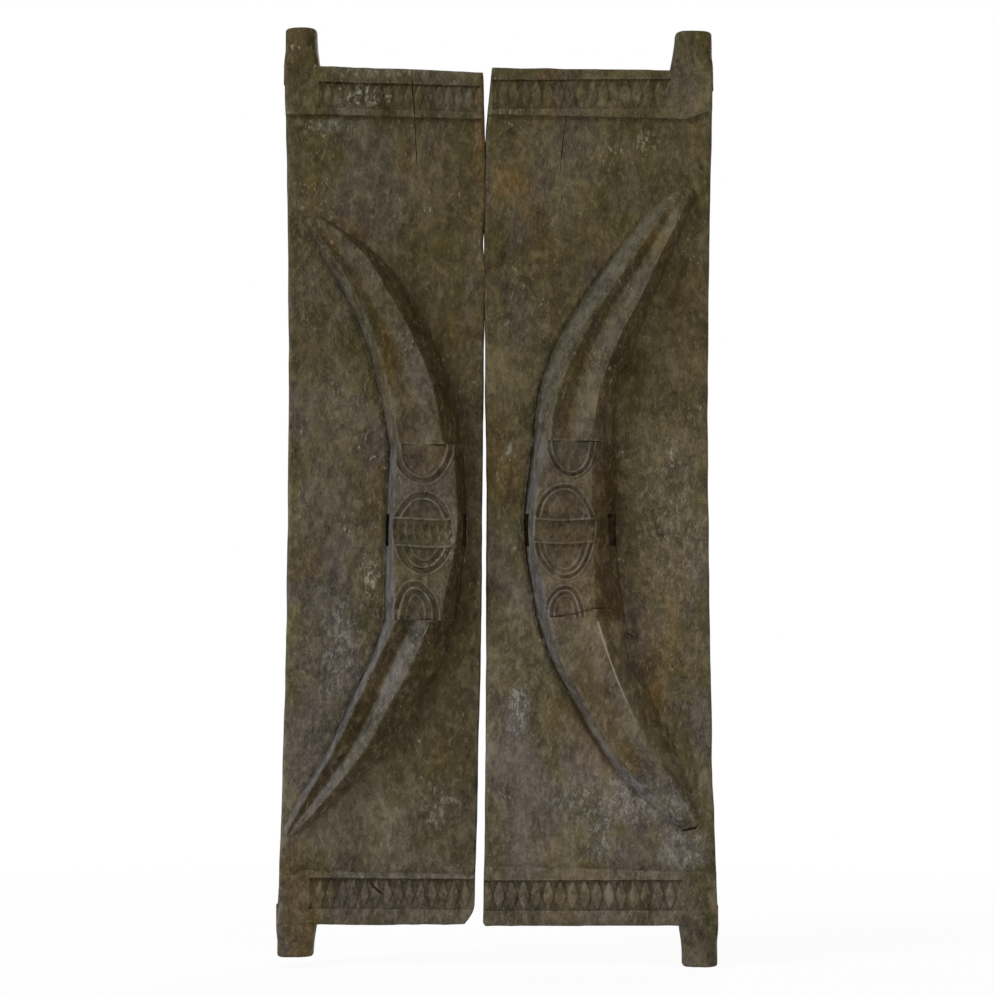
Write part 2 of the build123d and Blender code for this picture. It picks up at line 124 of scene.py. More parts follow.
class Bench:
    """Adds nodes to one tree, for shaders and for geometry alike."""

    def __init__(self, tree: bpy.types.NodeTree) -> None:
        """Keeps the tree that the nodes go into."""
        self.tree = tree

    @classmethod
    def cleared(cls, owner: Material | bpy.types.World) -> "Bench":
        """A bench for a material or a world, with the default nodes taken out.

        Args:
            owner: The material or the world.

        Returns:
            The bench for its tree.
        """
        owner.use_nodes = True
        owner.node_tree.nodes.clear()
        return cls(owner.node_tree)

    def add(
        self,
        kind: str,
        settings: dict[str, Any] | None = None,
        inputs: dict[str | int, Any] | None = None,
        out: str | int = 0,
    ) -> Wire:
        """Adds one node: its settings first, then the values or links of its sockets.

        Args:
            kind: The node's type.
            settings: Properties of the node.
            inputs: Values or wires by the socket's name or number.
            out: The output that the returned wire carries, by name or number.

        Returns:
            The chosen output, or a wire without a socket where the node has none.
        """
        node = self.tree.nodes.new(kind)
        for name, value in (settings or {}).items():
            setattr(node, name, value)
        for name, value in (inputs or {}).items():
            socket = node.inputs[name]
            if isinstance(value, Wire):
                self.tree.links.new(value.socket, socket)
            else:
                socket.default_value = value
        return Wire(self, node.outputs[out] if len(node.outputs) else None)

    def vector(self, operation: str, first: Any, second: Any) -> Wire:
        """The result of one Vector Math node on places, directions or colours."""
        return self.add("ShaderNodeVectorMath", {"operation": operation}, {0: first, 1: second})

    def scaled(self, vector: Wire, factor: Any) -> Wire:
        """A place, direction or colour times a value."""
        inputs = {0: vector, "Scale": factor}
        return self.add("ShaderNodeVectorMath", {"operation": "SCALE"}, inputs)

    def length(self, vector: Wire) -> Wire:
        """How long a vector is."""
        return self.add("ShaderNodeVectorMath", {"operation": "LENGTH"}, {0: vector}, out="Value")

    def axis(self, vector: Wire, name: str) -> Wire:
        """The part of a vector along one axis."""
        return self.add("ShaderNodeSeparateXYZ", inputs={"Vector": vector}, out=name)

    def xyz(self, **parts: Any) -> Wire:
        """A vector from its parts X, Y and Z, which are 0 where they aren't given."""
        return self.add("ShaderNodeCombineXYZ", inputs=parts)

    def attribute(self, name: str) -> Wire:
        """A value stored at each point of the mesh."""
        return self.add("ShaderNodeAttribute", {"attribute_name": name}, out="Fac")

    def noise(self, place: Wire, scale: float, detail: float, rough: float) -> Wire:
        """Soft noise from 0 to 1 at a place, from its scale, octaves and roughness."""
        sizes = {"Vector": place, "Scale": scale, "Detail": detail, "Roughness": rough}
        return self.add("ShaderNodeTexNoise", inputs=sizes)

    def ramp(self, value: Wire, low: float, high: float) -> Wire:
        """A smooth mask that is 0 where the value is low and 1 where it is high."""
        inputs = {"Value": value, "From Min": low, "From Max": high}
        return self.add("ShaderNodeMapRange", {"interpolation_type": "SMOOTHSTEP"}, inputs)

    def blend(self, mask: Any, under: Any, over: Any) -> Wire:
        """Mixes two colours.

        Args:
            mask: How much of the second colour shows, a wire or a number.
            under: The first colour, a wire or three numbers.
            over: The second colour, a wire or three numbers.

        Returns:
            The mixed colour.
        """
        factor, first, second, result = 0, 6, 7, 2
        tints = [tint if isinstance(tint, Wire) else (*tint, 1.0) for tint in (under, over)]
        inputs = {factor: mask, first: tints[0], second: tints[1]}
        return self.add("ShaderNodeMix", {"data_type": "RGBA"}, inputs, out=result)


def portion(value: Any, start: Any, end: Any) -> Any:
    """How far values are on the way from a start (0) to an end (1)."""
    return np.clip((value - start) / (end - start), 0.0, 1.0)


def step(value: Points, low: float, high: float) -> Points:
    """A smooth rise from 0 at low to 1 at high."""
    share = portion(value, low, high)
    return share * share * (3.0 - 2.0 * share)


def flow(at: Points, knots: Sequence[float], values: Sequence[Any]) -> Points:
    """Runs a smooth curve through values at rising knots.

    Args:
        at: Where to read the curve.
        knots: The knots, in rising order.
        values: One value or row of values for each knot.

    Returns:
        The curve's values, one row for each place.
    """
    spots = np.asarray(knots, float)
    rows = np.asarray(values, float)
    slopes = np.gradient(rows, spots, axis=0)
    index = np.clip(np.searchsorted(spots, at) - 1, 0, len(spots) - 2)
    span = spots[index + 1] - spots[index]
    share = np.clip((at - spots[index]) / span, 0.0, 1.0)
    if rows.ndim > 1:
        span, share = span[:, None], share[:, None]
    rest = 1.0 - share
    start = rest * rest * (1.0 + 2.0 * share)
    end = share * share * (1.0 + 2.0 * rest)
    lean = share * rest
    return (
        start * rows[index]
        + end * rows[index + 1]
        + lean * span * (rest * slopes[index] - share * slopes[index + 1])
    )


def flow_table(at: Points, stations: Sequence[Sequence[float]]) -> Points:
    """Smooth curves through a table whose first column holds the knots."""
    return flow(at, [row[0] for row in stations], [row[1:] for row in stations])


def dome(along: Points, wall: Points, crest: Points, brow: Points, foot: Points) -> Points:
    """Share of the full relief across the horn: a steep wall, a gentle front and a round fall.

    Args:
        along: Distances along the leaf.
        wall: Where the wall starts.
        crest: Where the wall ends.
        brow: Where the round fall starts.
        foot: Where the round fall ends.

    Returns:
        The shares.
    """
    climb = portion(along, wall, crest)
    front = portion(along, crest, brow)
    fall = portion(along, brow, foot)
    rise = 0.8 * climb + 0.2 * np.sqrt(climb)
    return rise * (1.0 - 0.09 * front**2.2) * (1.0 - fall**1.5) ** 0.8


def oval(along: Points, level: Points, center: Pair, half: Pair) -> Points:
    """Rough distance from an oval line, negative inside.

    Args:
        along: Distances along the leaf.
        level: Levels.
        center: The oval's centre.
        half: Its half width and half height.

    Returns:
        The distances.
    """
    across, up = along - center[0], level - center[1]
    size = np.sqrt((across / half[0]) ** 2 + (up / half[1]) ** 2) + TINY
    slope = np.sqrt((across / half[0] ** 2) ** 2 + (up / half[1] ** 2) ** 2) + TINY
    return (size - 1.0) * size / slope


def read(items: Any, name: str, wide: int, kind: type = float) -> Points:
    """Reads a property of all of a mesh's points or edges.

    Args:
        items: The points or edges.
        name: The property's name.
        wide: How many numbers each one holds.
        kind: The type of the numbers.

    Returns:
        One row for each point or edge.
    """
    values = np.empty(len(items) * wide, kind)
    items.foreach_get(name, values)
    return values.reshape(-1, wide)


def link(name: str, data: Any) -> Piece:
    """Puts a new object into the scene.

    Args:
        name: The object's name.
        data: Its mesh, curve, lamp or camera.

    Returns:
        The object.
    """
    piece = bpy.data.objects.new(name, data)
    bpy.context.scene.collection.objects.link(piece)
    return piece


def skin(name: str, loops: Points) -> Piece:
    """Closed mesh through a stack of closed loops, with a face over each end.

    Args:
        name: The object's name.
        loops: Points by loop, by place round the loop and by axis, with the loops turning
            anticlockwise as seen from the last one.

    Returns:
        The new object.
    """
    count, around = loops.shape[:2]
    first = np.arange(count - 1)[:, None] * around
    here = np.arange(around)[None, :]
    there = (here + 1) % around
    corners = [first + here, first + there, first + around + there, first + around + here]
    faces = np.stack(corners, -1).reshape(-1, 4).tolist()
    faces.append(list(range(around))[::-1])
    faces.append([(count - 1) * around + place for place in range(around)])
    mesh = bpy.data.meshes.new(name)
    mesh.from_pydata(loops.reshape(-1, 3).tolist(), [], faces)
    mesh.update()
    return link(name, mesh)


def settle(piece: Piece) -> Piece:
    """Turns a piece's evaluated shape into a plain mesh and removes its modifiers.

    Args:
        piece: The object to settle.

    Returns:
        The same object, or a new one in the place of a curve.
    """
    graph = bpy.context.evaluated_depsgraph_get()
    shaped = bpy.data.meshes.new_from_object(piece.evaluated_get(graph), depsgraph=graph)
    piece.modifiers.clear()
    if piece.type == "MESH":
        old = piece.data
        piece.data = shaped
        bpy.data.meshes.remove(old)
        return piece
    solid = link(f"{piece.name}_solid", shaped)
    bpy.data.objects.remove(piece)
    return solid


def carve(piece: Piece, tool: Piece, cut: Cut) -> None:
    """Adds a closed mesh to a piece or takes it away, and deletes the tool.

    Args:
        piece: The piece that changes.
        tool: The closed mesh to add or take.
        cut: Whether the tool is added or taken.
    """
    modifier = piece.modifiers.new("carve", "BOOLEAN")
    modifier.operation = cut.value
    modifier.solver = "MANIFOLD"
    modifier.object = tool
    settle(piece)
    bpy.data.objects.remove(tool)


class Net:
    """A mesh's points and the edges between them."""

    spreads = 3

    def __init__(self, mesh: bpy.types.Mesh) -> None:
        """Reads the mesh.

        Args:
            mesh: The finished mesh.
        """
        self.spots = read(mesh.vertices, "co", 3)
        self.normals = read(mesh.vertices, "normal", 3)
        self.ends = read(mesh.edges, "vertices", 2, int).T
        self.count = len(self.spots)
        self.degree = np.bincount(self.ends.ravel(), minlength=self.count).clip(1)

    def spread(self, values: Points, keep: float) -> Points:
        """Evens values out between neighbours.

        Args:
            values: One value for each point.
            keep: Share of its own value that a point keeps each time.

        Returns:
            The evened values.
        """
        a, b = self.ends
        for _ in range(self.spreads):
            total = np.bincount(a, values[b], self.count) + np.bincount(b, values[a], self.count)
            values = keep * values + (1.0 - keep) * total / self.degree
        return values

    def bulge(self) -> Points:
        """How far each point stands out from its neighbours, or lies hollow where negative.

        Returns:
            One value for each point.
        """
        a, b = self.ends
        way = self.spots[b] - self.spots[a]
        length = np.linalg.norm(way, axis=1) + LEAST_LENGTH
        lift = np.bincount(a, (way * self.normals[a]).sum(1) / length, self.count)
        lift -= np.bincount(b, (way * self.normals[b]).sum(1) / length, self.count)
        return self.spread(-lift / self.degree, BULGE_KEEP)


class Recipe:
    """A geometry tree with named inputs that shapes a piece once."""

    def __init__(self, name: str, inputs: dict[str, str]) -> None:
        """Starts the tree with its sockets.

        Args:
            name: The tree's name.
            inputs: The socket type of each named input besides the geometry and the material.
        """
        self.tree = bpy.data.node_groups.new(name, "GeometryNodeTree")
        geometry = {"Geometry": "NodeSocketGeometry"}
        sockets = geometry | inputs | {"Material": "NodeSocketMaterial"}
        for way, group in (("INPUT", sockets), ("OUTPUT", geometry)):
            for label, kind in group.items():
                self.tree.interface.new_socket(label, in_out=way, socket_type=kind)
        self.bench = Bench(self.tree)

    def given(self, label: str) -> Wire:
        """The wire of a named input."""
        return self.bench.add("NodeGroupInput", out=label)

    def close(self, shape: Wire) -> None:
        """Ends the tree in plain geometry with its material.

        Args:
            shape: The finished geometry.
        """
        whole = self.bench.add("GeometryNodeRealizeInstances", inputs={"Geometry": shape})
        inputs = {"Geometry": whole, "Material": self.given("Material")}
        dressed = self.bench.add("GeometryNodeSetMaterial", inputs=inputs)
        self.bench.add("NodeGroupOutput", inputs={"Geometry": dressed})

    def run(self, piece: Piece, values: dict[str, Any]) -> Piece:
        """Shapes a piece with this tree and leaves it a plain mesh.

        Args:
            piece: The piece to shape.
            values: The value of each named input.

        Returns:
            The shaped piece.
        """
        modifier = piece.modifiers.new(self.tree.name, "NODES")
        modifier.node_group = self.tree
        for item in self.tree.interface.items_tree:
            if item.in_out == "INPUT" and item.name in values:
                modifier[item.identifier] = values[item.name]
        return settle(piece)


class AdzeMarks(Recipe):
    """Shallow scoops and long waves that an adze leaves along the grain."""

    smoothness = 0.35
    wave_scale = 0.4

    def __init__(self) -> None:
        """Builds the tree: scoops from stretched cells, waves from stretched noise."""
        labels = ("Scoop Depth", "Wave Depth", "Stroke Width", "Stroke Length", "Seed")
        super().__init__("adze_marks", dict.fromkeys(labels, NUMBER))
        bench = self.bench
        across = 1.0 / self.given("Stroke Width")
        along = 1.0 / self.given("Stroke Length")
        factors = bench.xyz(X=across, Y=across, Z=along)
        place = bench.vector("MULTIPLY", bench.add("GeometryNodeInputPosition"), factors)
        here = {"Vector": place, "W": self.given("Seed")}
        cells = bench.add(
            "ShaderNodeTexVoronoi",
            {"voronoi_dimensions": "4D", "feature": "SMOOTH_F1"},
            here | {"Scale": 1.0, "Smoothness": self.smoothness},
        )
        waves = bench.add(
            "ShaderNodeTexNoise",
            {"noise_dimensions": "4D"},
            here | {"Scale": self.wave_scale, "Detail": 2.0},
        )
        lift = cells * self.given("Scoop Depth") + (waves - 0.5) * self.given("Wave Depth")
        offset = bench.scaled(bench.add("GeometryNodeInputNormal"), lift)
        moved = {"Geometry": self.given("Geometry"), "Offset": offset}
        self.close(bench.add("GeometryNodeSetPosition", inputs=moved))


class LozengeRow(Recipe):
    """Lozenges repeated along a row, each a little off its place, turn and size."""

    height_shrink = 0.4

    def __init__(self) -> None:
        """Builds the tree: one line of points with a lozenge on each."""
        inputs = dict.fromkeys(("Pitch", "Slip", "Turn", "Shrink"), NUMBER)
        super().__init__("lozenge_row", inputs | {"Count": WHOLE, "Seed": WHOLE})
        bench = self.bench
        pitch, seed, count = self.given("Pitch"), self.given("Seed"), self.given("Count")
        slip, turn, shrink = self.given("Slip"), self.given("Turn"), self.given("Shrink")
        start = bench.xyz(X=(count - 1) * pitch * -0.5)
        ends = {"Count": count, "Start Location": start, "Offset": bench.xyz(X=pitch)}
        line = bench.add("GeometryNodeMeshLine", {"mode": "OFFSET"}, ends)
        shift = bench.xyz(X=self.chance(slip * -1.0, slip, seed))
        points = bench.add("GeometryNodeSetPosition", inputs={"Geometry": line, "Offset": shift})
        rotation = bench.xyz(Y=self.chance(turn * -1.0, turn, seed + 1))
        width = self.chance(1.0 - shrink, 1.0, seed + 2)
        height = self.chance(1.0 - shrink * self.height_shrink, 1.0, seed + 3)
        row = {"Points": points, "Instance": self.given("Geometry"), "Rotation": rotation}
        row |= {"Scale": bench.xyz(X=width, Y=1.0, Z=height)}
        self.close(bench.add("GeometryNodeInstanceOnPoints", inputs=row))

    def chance(self, low: Any, high: Any, seed: Any) -> Wire:
        """A random number for each point.

        Args:
            low: The least it can be.
            high: The most it can be.
            seed: The seed.

        Returns:
            The number.
        """
        least, most, number = 2, 3, 1
        inputs = {least: low, most: high, "Seed": seed}
        return self.bench.add("FunctionNodeRandomValue", inputs=inputs, out=number)


class ScoredLine(Recipe):
    """A knife's cut along a path: a tapered groove, as a closed tool."""

    corners = 4

    def __init__(self) -> None:
        """Builds the tree: a four-sided section swept along the path."""
        super().__init__("scored_line", {"Half Width": NUMBER, "Depth": NUMBER})
        bench = self.bench
        upright = {"Curve": self.given("Geometry"), "Normal": (0.0, -1.0, 0.0)}
        path = bench.add("GeometryNodeSetCurveNormal", {"mode": "FREE"}, upright)
        round_ring = {"Resolution": self.corners, "Radius": 1.0}
        ring = bench.add("GeometryNodeCurvePrimitiveCircle", {"mode": "RADIUS"}, round_ring)
        size = bench.xyz(X=self.given("Depth"), Y=self.given("Half Width"), Z=1.0)
        section = bench.add("GeometryNodeTransform", inputs={"Geometry": ring, "Scale": size})
        radius = bench.add("GeometryNodeInputRadius")
        sweep = {"Curve": path, "Profile Curve": section, "Scale": radius, "Fill Caps": True}
        self.close(bench.add("GeometryNodeCurveToMesh", inputs=sweep))


@dataclass(frozen=True)
class Hewing:
    """How a surface is hewn: depth of scoops and waves, and width and length of a stroke."""

    scoop: float
    wave: float
    width: float
    length: float

    def inputs(self, seed: float, wood: Material) -> dict[str, Any]:
        """The inputs of the tree that hews a surface.

        Args:
            seed: The seed of the strokes.
            wood: The wood's material.

        Returns:
            Values by the input's name.
        """
        sizes = {"Scoop Depth": self.scoop, "Wave Depth": self.wave}
        sizes |= {"Stroke Width": self.width, "Stroke Length": self.length}
        return sizes | {"Seed": seed, "Material": wood}


BROAD_HEWING = Hewing(0.0022, 0.003, 0.03, 0.06)
FINE_HEWING = Hewing(0.0006, 0.0012, 0.014, 0.06)
LIGHT_HEWING = Hewing(0.0002, 0.0009, 0.012, 0.05)


@dataclass(frozen=True)
class Score:
    """A scored line or crack: its path, half width, depth and least width share at its ends."""

    path: tuple[Pair, ...]
    half_width: float = 0.0011
    depth: float = 0.0017
    on_band: bool = True
    ends: float = 0.3


@dataclass(frozen=True)
class Row:
    """A chip-carved row of lozenges that stand in a sunk strip.

    The depths are those of the strip's upper and lower edges, and the width share is how much of
    the pitch a lozenge fills. Slip, turn and shrink are how far a lozenge strays by chance.
    """

    center: float
    level: float
    length: float
    height: float
    count: int
    tilt: float
    depths: Pair
    width_share: float = 0.96
    plumpness: float = 1.3
    height_share: float = 0.985
    slip: float = 0.0002
    turn: float = 0.02
    shrink: float = 0.06

    def pitch(self) -> float:
        """Distance from one lozenge to the next."""
        return self.length / self.count


@dataclass(frozen=True)
class Motif:
    """Ovals carved on the horn's band, as half widths and heights about their centres.

    The waver is how far the hand strays from a true oval, and the mesh is the pitch of the
    lattice along and up the leaf.
    """

    center: float
    cup_center: float
    arch_center: float
    cup: Pair
    ring: Pair
    arch: Pair
    ring_level: float
    rail_spacing: float
    spread: float
    fillet: float = 0.0018
    depth: float = 0.0042
    lattice: float = 0.0005
    mesh: Pair = (0.0125, 0.0165)
    moat: float = 0.007
    soft: float = 0.0011
    waver: float = 0.0013

    def bar(self, off: Points) -> Points:
        """1 on a raised fillet and 0 beside it, from the distance to its line."""
        return 1.0 - step(np.abs(off), self.fillet * 0.4, self.fillet + self.soft)


@dataclass(frozen=True)
class Limb:
    """One limb of the horn: its levels, the heights of its crests and groove, and its stations.

    The heights are shares of the relief at the outer crest, the groove and the inner crest.
    A station holds its rise, then shares of the reach for the outer foot, outer crest, groove,
    inner crest and inner foot, and its share of the relief. The painted light and shade of each
    face runs from left to right, from painted shade in dark brown (-1) to painted light in cool
    grey (1).
    The arris says where the right crest gets a painted pale highlight, as shares of the length.
    """

    start: float
    end: float
    height_shares: Triple
    stations: tuple[tuple[float, ...], ...]
    # Painted light and shade of the four faces, from left to right.
    light_tones: tuple[float, float, float, float]
    nose: float = 0.07
    # Where the painted highlight runs along the right crest.
    arris: Pair = (0.0, 0.0)


@dataclass(frozen=True)
class Horn:
    """A horn with two limbs and a band between them.

    A band's station holds its rise, outer foot, outer front, inner front and inner foot. The
    scores are the widths of the cuts at the band's lower and upper ends.
    """

    lower: Limb
    upper: Limb
    band_stations: tuple[tuple[float, ...], ...]
    relief: float = 0.046
    crown: float = 0.004
    root: float = 0.008
    score_lean: float = 0.0
    score_depth: float = 0.0019
    scores: Pair = (0.0018, 0.0016)
    limb_step: float = 0.0024
    band_step: float = 0.0012


@dataclass(frozen=True)
class StainOrShadow:
    """A stained patch or painted shadow on the front: centre, half sizes along x and z, colour,
    strength, brokenness.
    """

    center: Pair
    size: Pair
    color: Triple
    strength: float
    broken: float = 0.3


OCHRE = (0.14, 0.085, 0.02)
AMBER = (0.22, 0.115, 0.03)
OLIVE = (0.064, 0.052, 0.018)
CHALK = (0.21, 0.2, 0.205)
LIME = (0.38, 0.37, 0.37)
BROWN = (0.045, 0.031, 0.012)
UMBER = (0.062, 0.034, 0.015)
RUST = (0.1, 0.058, 0.026)
TAN = (0.15, 0.129, 0.088)
MAUVE = (0.098, 0.086, 0.083)
ROSE = (0.135, 0.092, 0.068)


@dataclass(frozen=True)
class Layer:
    """A noise pattern: its stretch upwards, scale, octaves and roughness."""

    upright: float
    scale: float
    detail: float
    rough: float

    def show(self, bench: Bench, place: Wire) -> Wire:
        """The pattern at each place."""
        stretched = bench.vector("MULTIPLY", place, (1.0, 1.0, self.upright))
        return bench.noise(stretched, self.scale, self.detail, self.rough)


GRAIN = Layer(0.7, 300.0, 2.0, 0.65)
STROKES = Layer(0.6, 115.0, 3.0, 0.65)
MOTTLE = Layer(0.7, 48.0, 4.0, 0.6)
LUMPS = Layer(0.7, 20.0, 3.0, 0.6)
CLOUD = Layer(1.0, 5.0, 3.0, 0.55)
SOOT = Layer(0.7, 22.0, 4.0, 0.62)
PATCHES = Layer(1.0, 12.0, 3.0, 0.6)
SCRATCHES = Layer(0.11, 330.0, 1.0, 0.5)
SPECKS = Layer(0.5, 190.0, 2.0, 0.5)


@dataclass(frozen=True)
class Wash:
    """A colour over part of the wood: its scale, colour, mask's start and end, and strength."""

    scale: float
    color: Triple
    low: float
    high: float
    strength: float


class Patterns:
    """Places on a leaf and the patterns there, as wires that the wood's colours share."""

    swirl_scale = 8.0
    bend = 0.06
    lean = 0.02
    chip_scale = 105.0
    chip_stretch = (1.0, 1.0, 0.55)
    scratch_angles = (0.5, -0.35)

    def __init__(self, bench: Bench, seed: float) -> None:
        """Lays the patterns out.

        Args:
            bench: The maker of nodes.
            seed: How far this leaf's patterns are shifted.
        """
        self.spot = bench.add("ShaderNodeTexCoord", out="Object")
        self.place = bench.vector("ADD", self.spot, (seed, 0.0, 0.0))
        swirl = {"Vector": self.place, "Scale": self.swirl_scale, "Detail": 3.0}
        drift = bench.add("ShaderNodeTexNoise", inputs=swirl, out="Color")
        self.bent = bench.vector("ADD", self.place, bench.scaled(drift, self.bend))
        self.true = bench.vector("ADD", self.place, bench.scaled(drift, self.lean))
        self.grain = GRAIN.show(bench, self.true)
        self.strokes = STROKES.show(bench, self.true)
        self.mottle = MOTTLE.show(bench, self.bent)
        self.lumps = LUMPS.show(bench, self.place)
        self.cloud = CLOUD.show(bench, self.place)
        cells = {"Vector": bench.vector("MULTIPLY", self.bent, self.chip_stretch)}
        cells |= {"Scale": self.chip_scale}
        self.chip = bench.axis(bench.add("ShaderNodeTexVoronoi", inputs=cells, out="Color"), "X")
        self.height = bench.axis(self.spot, "Z")
        # Stored per point: worn edges with a painted crest highlight, painted shade, and painted
        # light and shade by face.
        self.wear_and_highlight = bench.attribute("wear_and_highlight")
        self.painted_shade = bench.attribute("painted_shade")
        self.painted_light = bench.attribute("painted_light")
        first, second = (self.scratches(bench, angle) for angle in self.scratch_angles)
        self.scratch = first + second

    def scratches(self, bench: Bench, angle: float) -> Wire:
        """Short straight scratches that lean to one side.

        Args:
            bench: The maker of nodes.
            angle: How far they lean from upright.

        Returns:
            The mask.
        """
        inputs = {"Vector": self.place, "Angle": angle}
        turned = bench.add("ShaderNodeVectorRotate", {"rotation_type": "Y_AXIS"}, inputs)
        return bench.ramp(SCRATCHES.show(bench, turned), 0.69, 0.76)


@dataclass(frozen=True)
class AgedWood:
    """Dark old wood, hand-worn: olive-brown with grey worn edges, ochre staining and pale
    scratches, and painted light and shade.
    """

    name: str
    seed: float
    stains_and_shadows: tuple[StainOrShadow, ...]
    body: Triple = (0.088, 0.071, 0.041)
    pale: Triple = (0.114, 0.096, 0.061)
    # Dark brown for soot, and for painted shade in hollows, in the tunnel and beside the horn.
    shade: Triple = (0.03, 0.021, 0.009)
    # Grey for worn edges, and for the painted highlight along a crest.
    worn: Triple = (0.17, 0.155, 0.145)
    # Painted light: cool grey on the horn's faces that turn to the light.
    cool: Triple = (0.132, 0.128, 0.144)
    # Painted shade: dark brown on the horn's faces that turn away from the light.
    dark: Triple = (0.042, 0.027, 0.009)
    # Pale scratches and specks, and the painted highlight along a crest.
    fleck_and_highlight: Triple = (0.38, 0.34, 0.27)
    # Paler and greyer towards the foot of the leaf.
    foot: Triple = (0.118, 0.102, 0.084)
    silver: Triple = (0.164, 0.145, 0.119)
    # Multiplied in: darker and yellower at the top, paler at the foot.
    top_cast: Triple = (0.76, 0.73, 0.57)
    foot_cast: Triple = (1.06, 1.04, 0.98)
    washes: tuple[Wash, ...] = (
        Wash(9.0, (0.072, 0.061, 0.021), 0.44, 0.62, 0.7),
        Wash(11.0, (0.108, 0.09, 0.08), 0.47, 0.65, 0.75),
        Wash(8.0, (0.118, 0.076, 0.024), 0.54, 0.68, 0.55),
    )
    wash_stretch: Triple = (1.2, 1.0, 0.7)
    shine: float = 0.1
    relief: float = 0.004

    def stain_or_shadow(self, bench: Bench, on: Patterns, flakes: Wire, stain_or_shadow: StainOrShadow) -> Wire:
        """How strongly a stained patch or a painted shadow shows at each place.

        Args:
            bench: The maker of nodes.
            on: The leaf's places and patterns.
            flakes: Mask that breaks it up.
            stain_or_shadow: The stained patch or painted shadow.

        Returns:
            The mask.
        """
        fray, rim, core = 1.8, 1.15, 0.35
        away = bench.vector("SUBTRACT", on.spot, (stain_or_shadow.center[0], 0.0, stain_or_shadow.center[1]))
        near = bench.vector("MULTIPLY", away, (1.0 / stain_or_shadow.size[0], 0.0, 1.0 / stain_or_shadow.size[1]))
        wash = bench.ramp(bench.length(near) + on.mottle * fray - fray / 2.0, rim, core)
        return wash * (flakes * stain_or_shadow.broken + (1.0 - stain_or_shadow.broken)) * stain_or_shadow.strength

    def ground(self, bench: Bench, on: Patterns) -> Wire:
        """The wood's colours, paler at the foot, with washes, stained patches and painted shadows.

        Args:
            bench: The maker of nodes.
            on: The leaf's places and patterns.

        Returns:
            The colour.
        """
        tint = bench.blend(bench.ramp(on.cloud, 0.4, 0.66), self.body, self.pale)
        # Paler and greyer towards the foot.
        tint = bench.blend(bench.ramp(on.height, 0.75, 0.05) * 0.55, tint, self.foot)
        wide = bench.vector("MULTIPLY", on.bent, self.wash_stretch)
        for wash in self.washes:
            patch = bench.ramp(bench.noise(wide, wash.scale, 2.0, 0.55), wash.low, wash.high)
            tint = bench.blend(patch * wash.strength, tint, wash.color)
        flakes = bench.ramp(on.strokes * 0.6 + on.grain * 0.4, 0.49, 0.6)
        front = bench.ramp(bench.axis(on.spot, "Y"), 0.03, 0.005)
        # Some patches are real staining; others are painted shadows beside the horn.
        for stain_or_shadow in self.stains_and_shadows:
            tint = bench.blend(self.stain_or_shadow(bench, on, flakes, stain_or_shadow) * front, tint, stain_or_shadow.color)
        return tint

    def painted_light_and_wear(self, bench: Bench, on: Patterns, tint: Wire) -> Wire:
        """Paints light and shade on the horn's faces, and adds soot, painted shade and worn,
        highlit edges.

        Args:
            bench: The maker of nodes.
            on: The leaf's places and patterns.
            tint: The colour so far.

        Returns:
            The colour.
        """
        mottle_share = bench.ramp(on.mottle, 0.3, 0.55)
        # Painted light: cool grey on faces that turn to the light, broken up by mottling.
        tint = bench.blend(bench.ramp(on.painted_light, 0.0, 1.0) * (mottle_share * 0.3 + 0.52), tint, self.cool)
        # Painted shade: dark brown on faces that turn away from the light.
        tint = bench.blend(bench.ramp(on.painted_light, 0.0, -1.0) * 0.75, tint, self.dark)
        soot = bench.ramp(SOOT.show(bench, on.bent), 0.56, 0.72)
        tint = bench.blend(soot * 0.4, tint, self.shade)
        # Painted shade in hollows, in the tunnel, by the horn's feet, beside it and in sunk
        # grounds.
        tint = bench.blend(on.painted_shade * 0.9, tint, self.shade)
        # Worn edges, and the painted highlight along a crest.
        return bench.blend(on.wear_and_highlight * mottle_share * 0.8, tint, self.worn)

    def marked(self, bench: Bench, on: Patterns, tint: Wire) -> Wire:
        """Breaks the colour up: light and dark, silvery dabs, a cast from a darker, yellower top
        to a paler foot, scratches, and a painted highlight along a crest.

        Args:
            bench: The maker of nodes.
            on: The leaf's places and patterns.
            tint: The colour so far.

        Returns:
            The colour.
        """
        level = 0.69 + bench.ramp(on.mottle, 0.38, 0.72) * 0.44
        level = level + bench.ramp(on.strokes, 0.42, 0.7) * 0.38
        for pattern, weight in ((on.grain, 1.1), (on.chip, 0.2), (on.lumps, 1.0), (on.cloud, 0.7)):
            level = level + (pattern - 0.5) * weight
        tint = bench.scaled(tint, level)
        dabs = bench.ramp(on.strokes * 0.68 + on.chip * 0.12 + on.lumps * 0.2, 0.5, 0.68)
        tint = bench.blend(dabs * 0.4 * (1.0 - on.painted_shade), tint, self.silver)
        # Painted highlight along a crest, where the stored value passes 1.
        tint = bench.blend(bench.ramp(on.wear_and_highlight, 1.0, 1.5) * 0.8, tint, self.fleck_and_highlight)
        # Darker and yellower at the top, paler at the foot.
        cast = bench.blend(bench.ramp(on.height, 1.15, 0.3), self.top_cast, self.foot_cast)
        tint = bench.vector("MULTIPLY", tint, cast)
        patch = bench.ramp(PATCHES.show(bench, on.place), 0.48, 0.68)
        speck = bench.ramp(SPECKS.show(bench, on.true), 0.64, 0.72)
        marks = on.scratch * patch * 0.34 + speck * (patch * 0.4 + 0.08)
        return bench.blend(marks, tint, self.fleck_and_highlight)

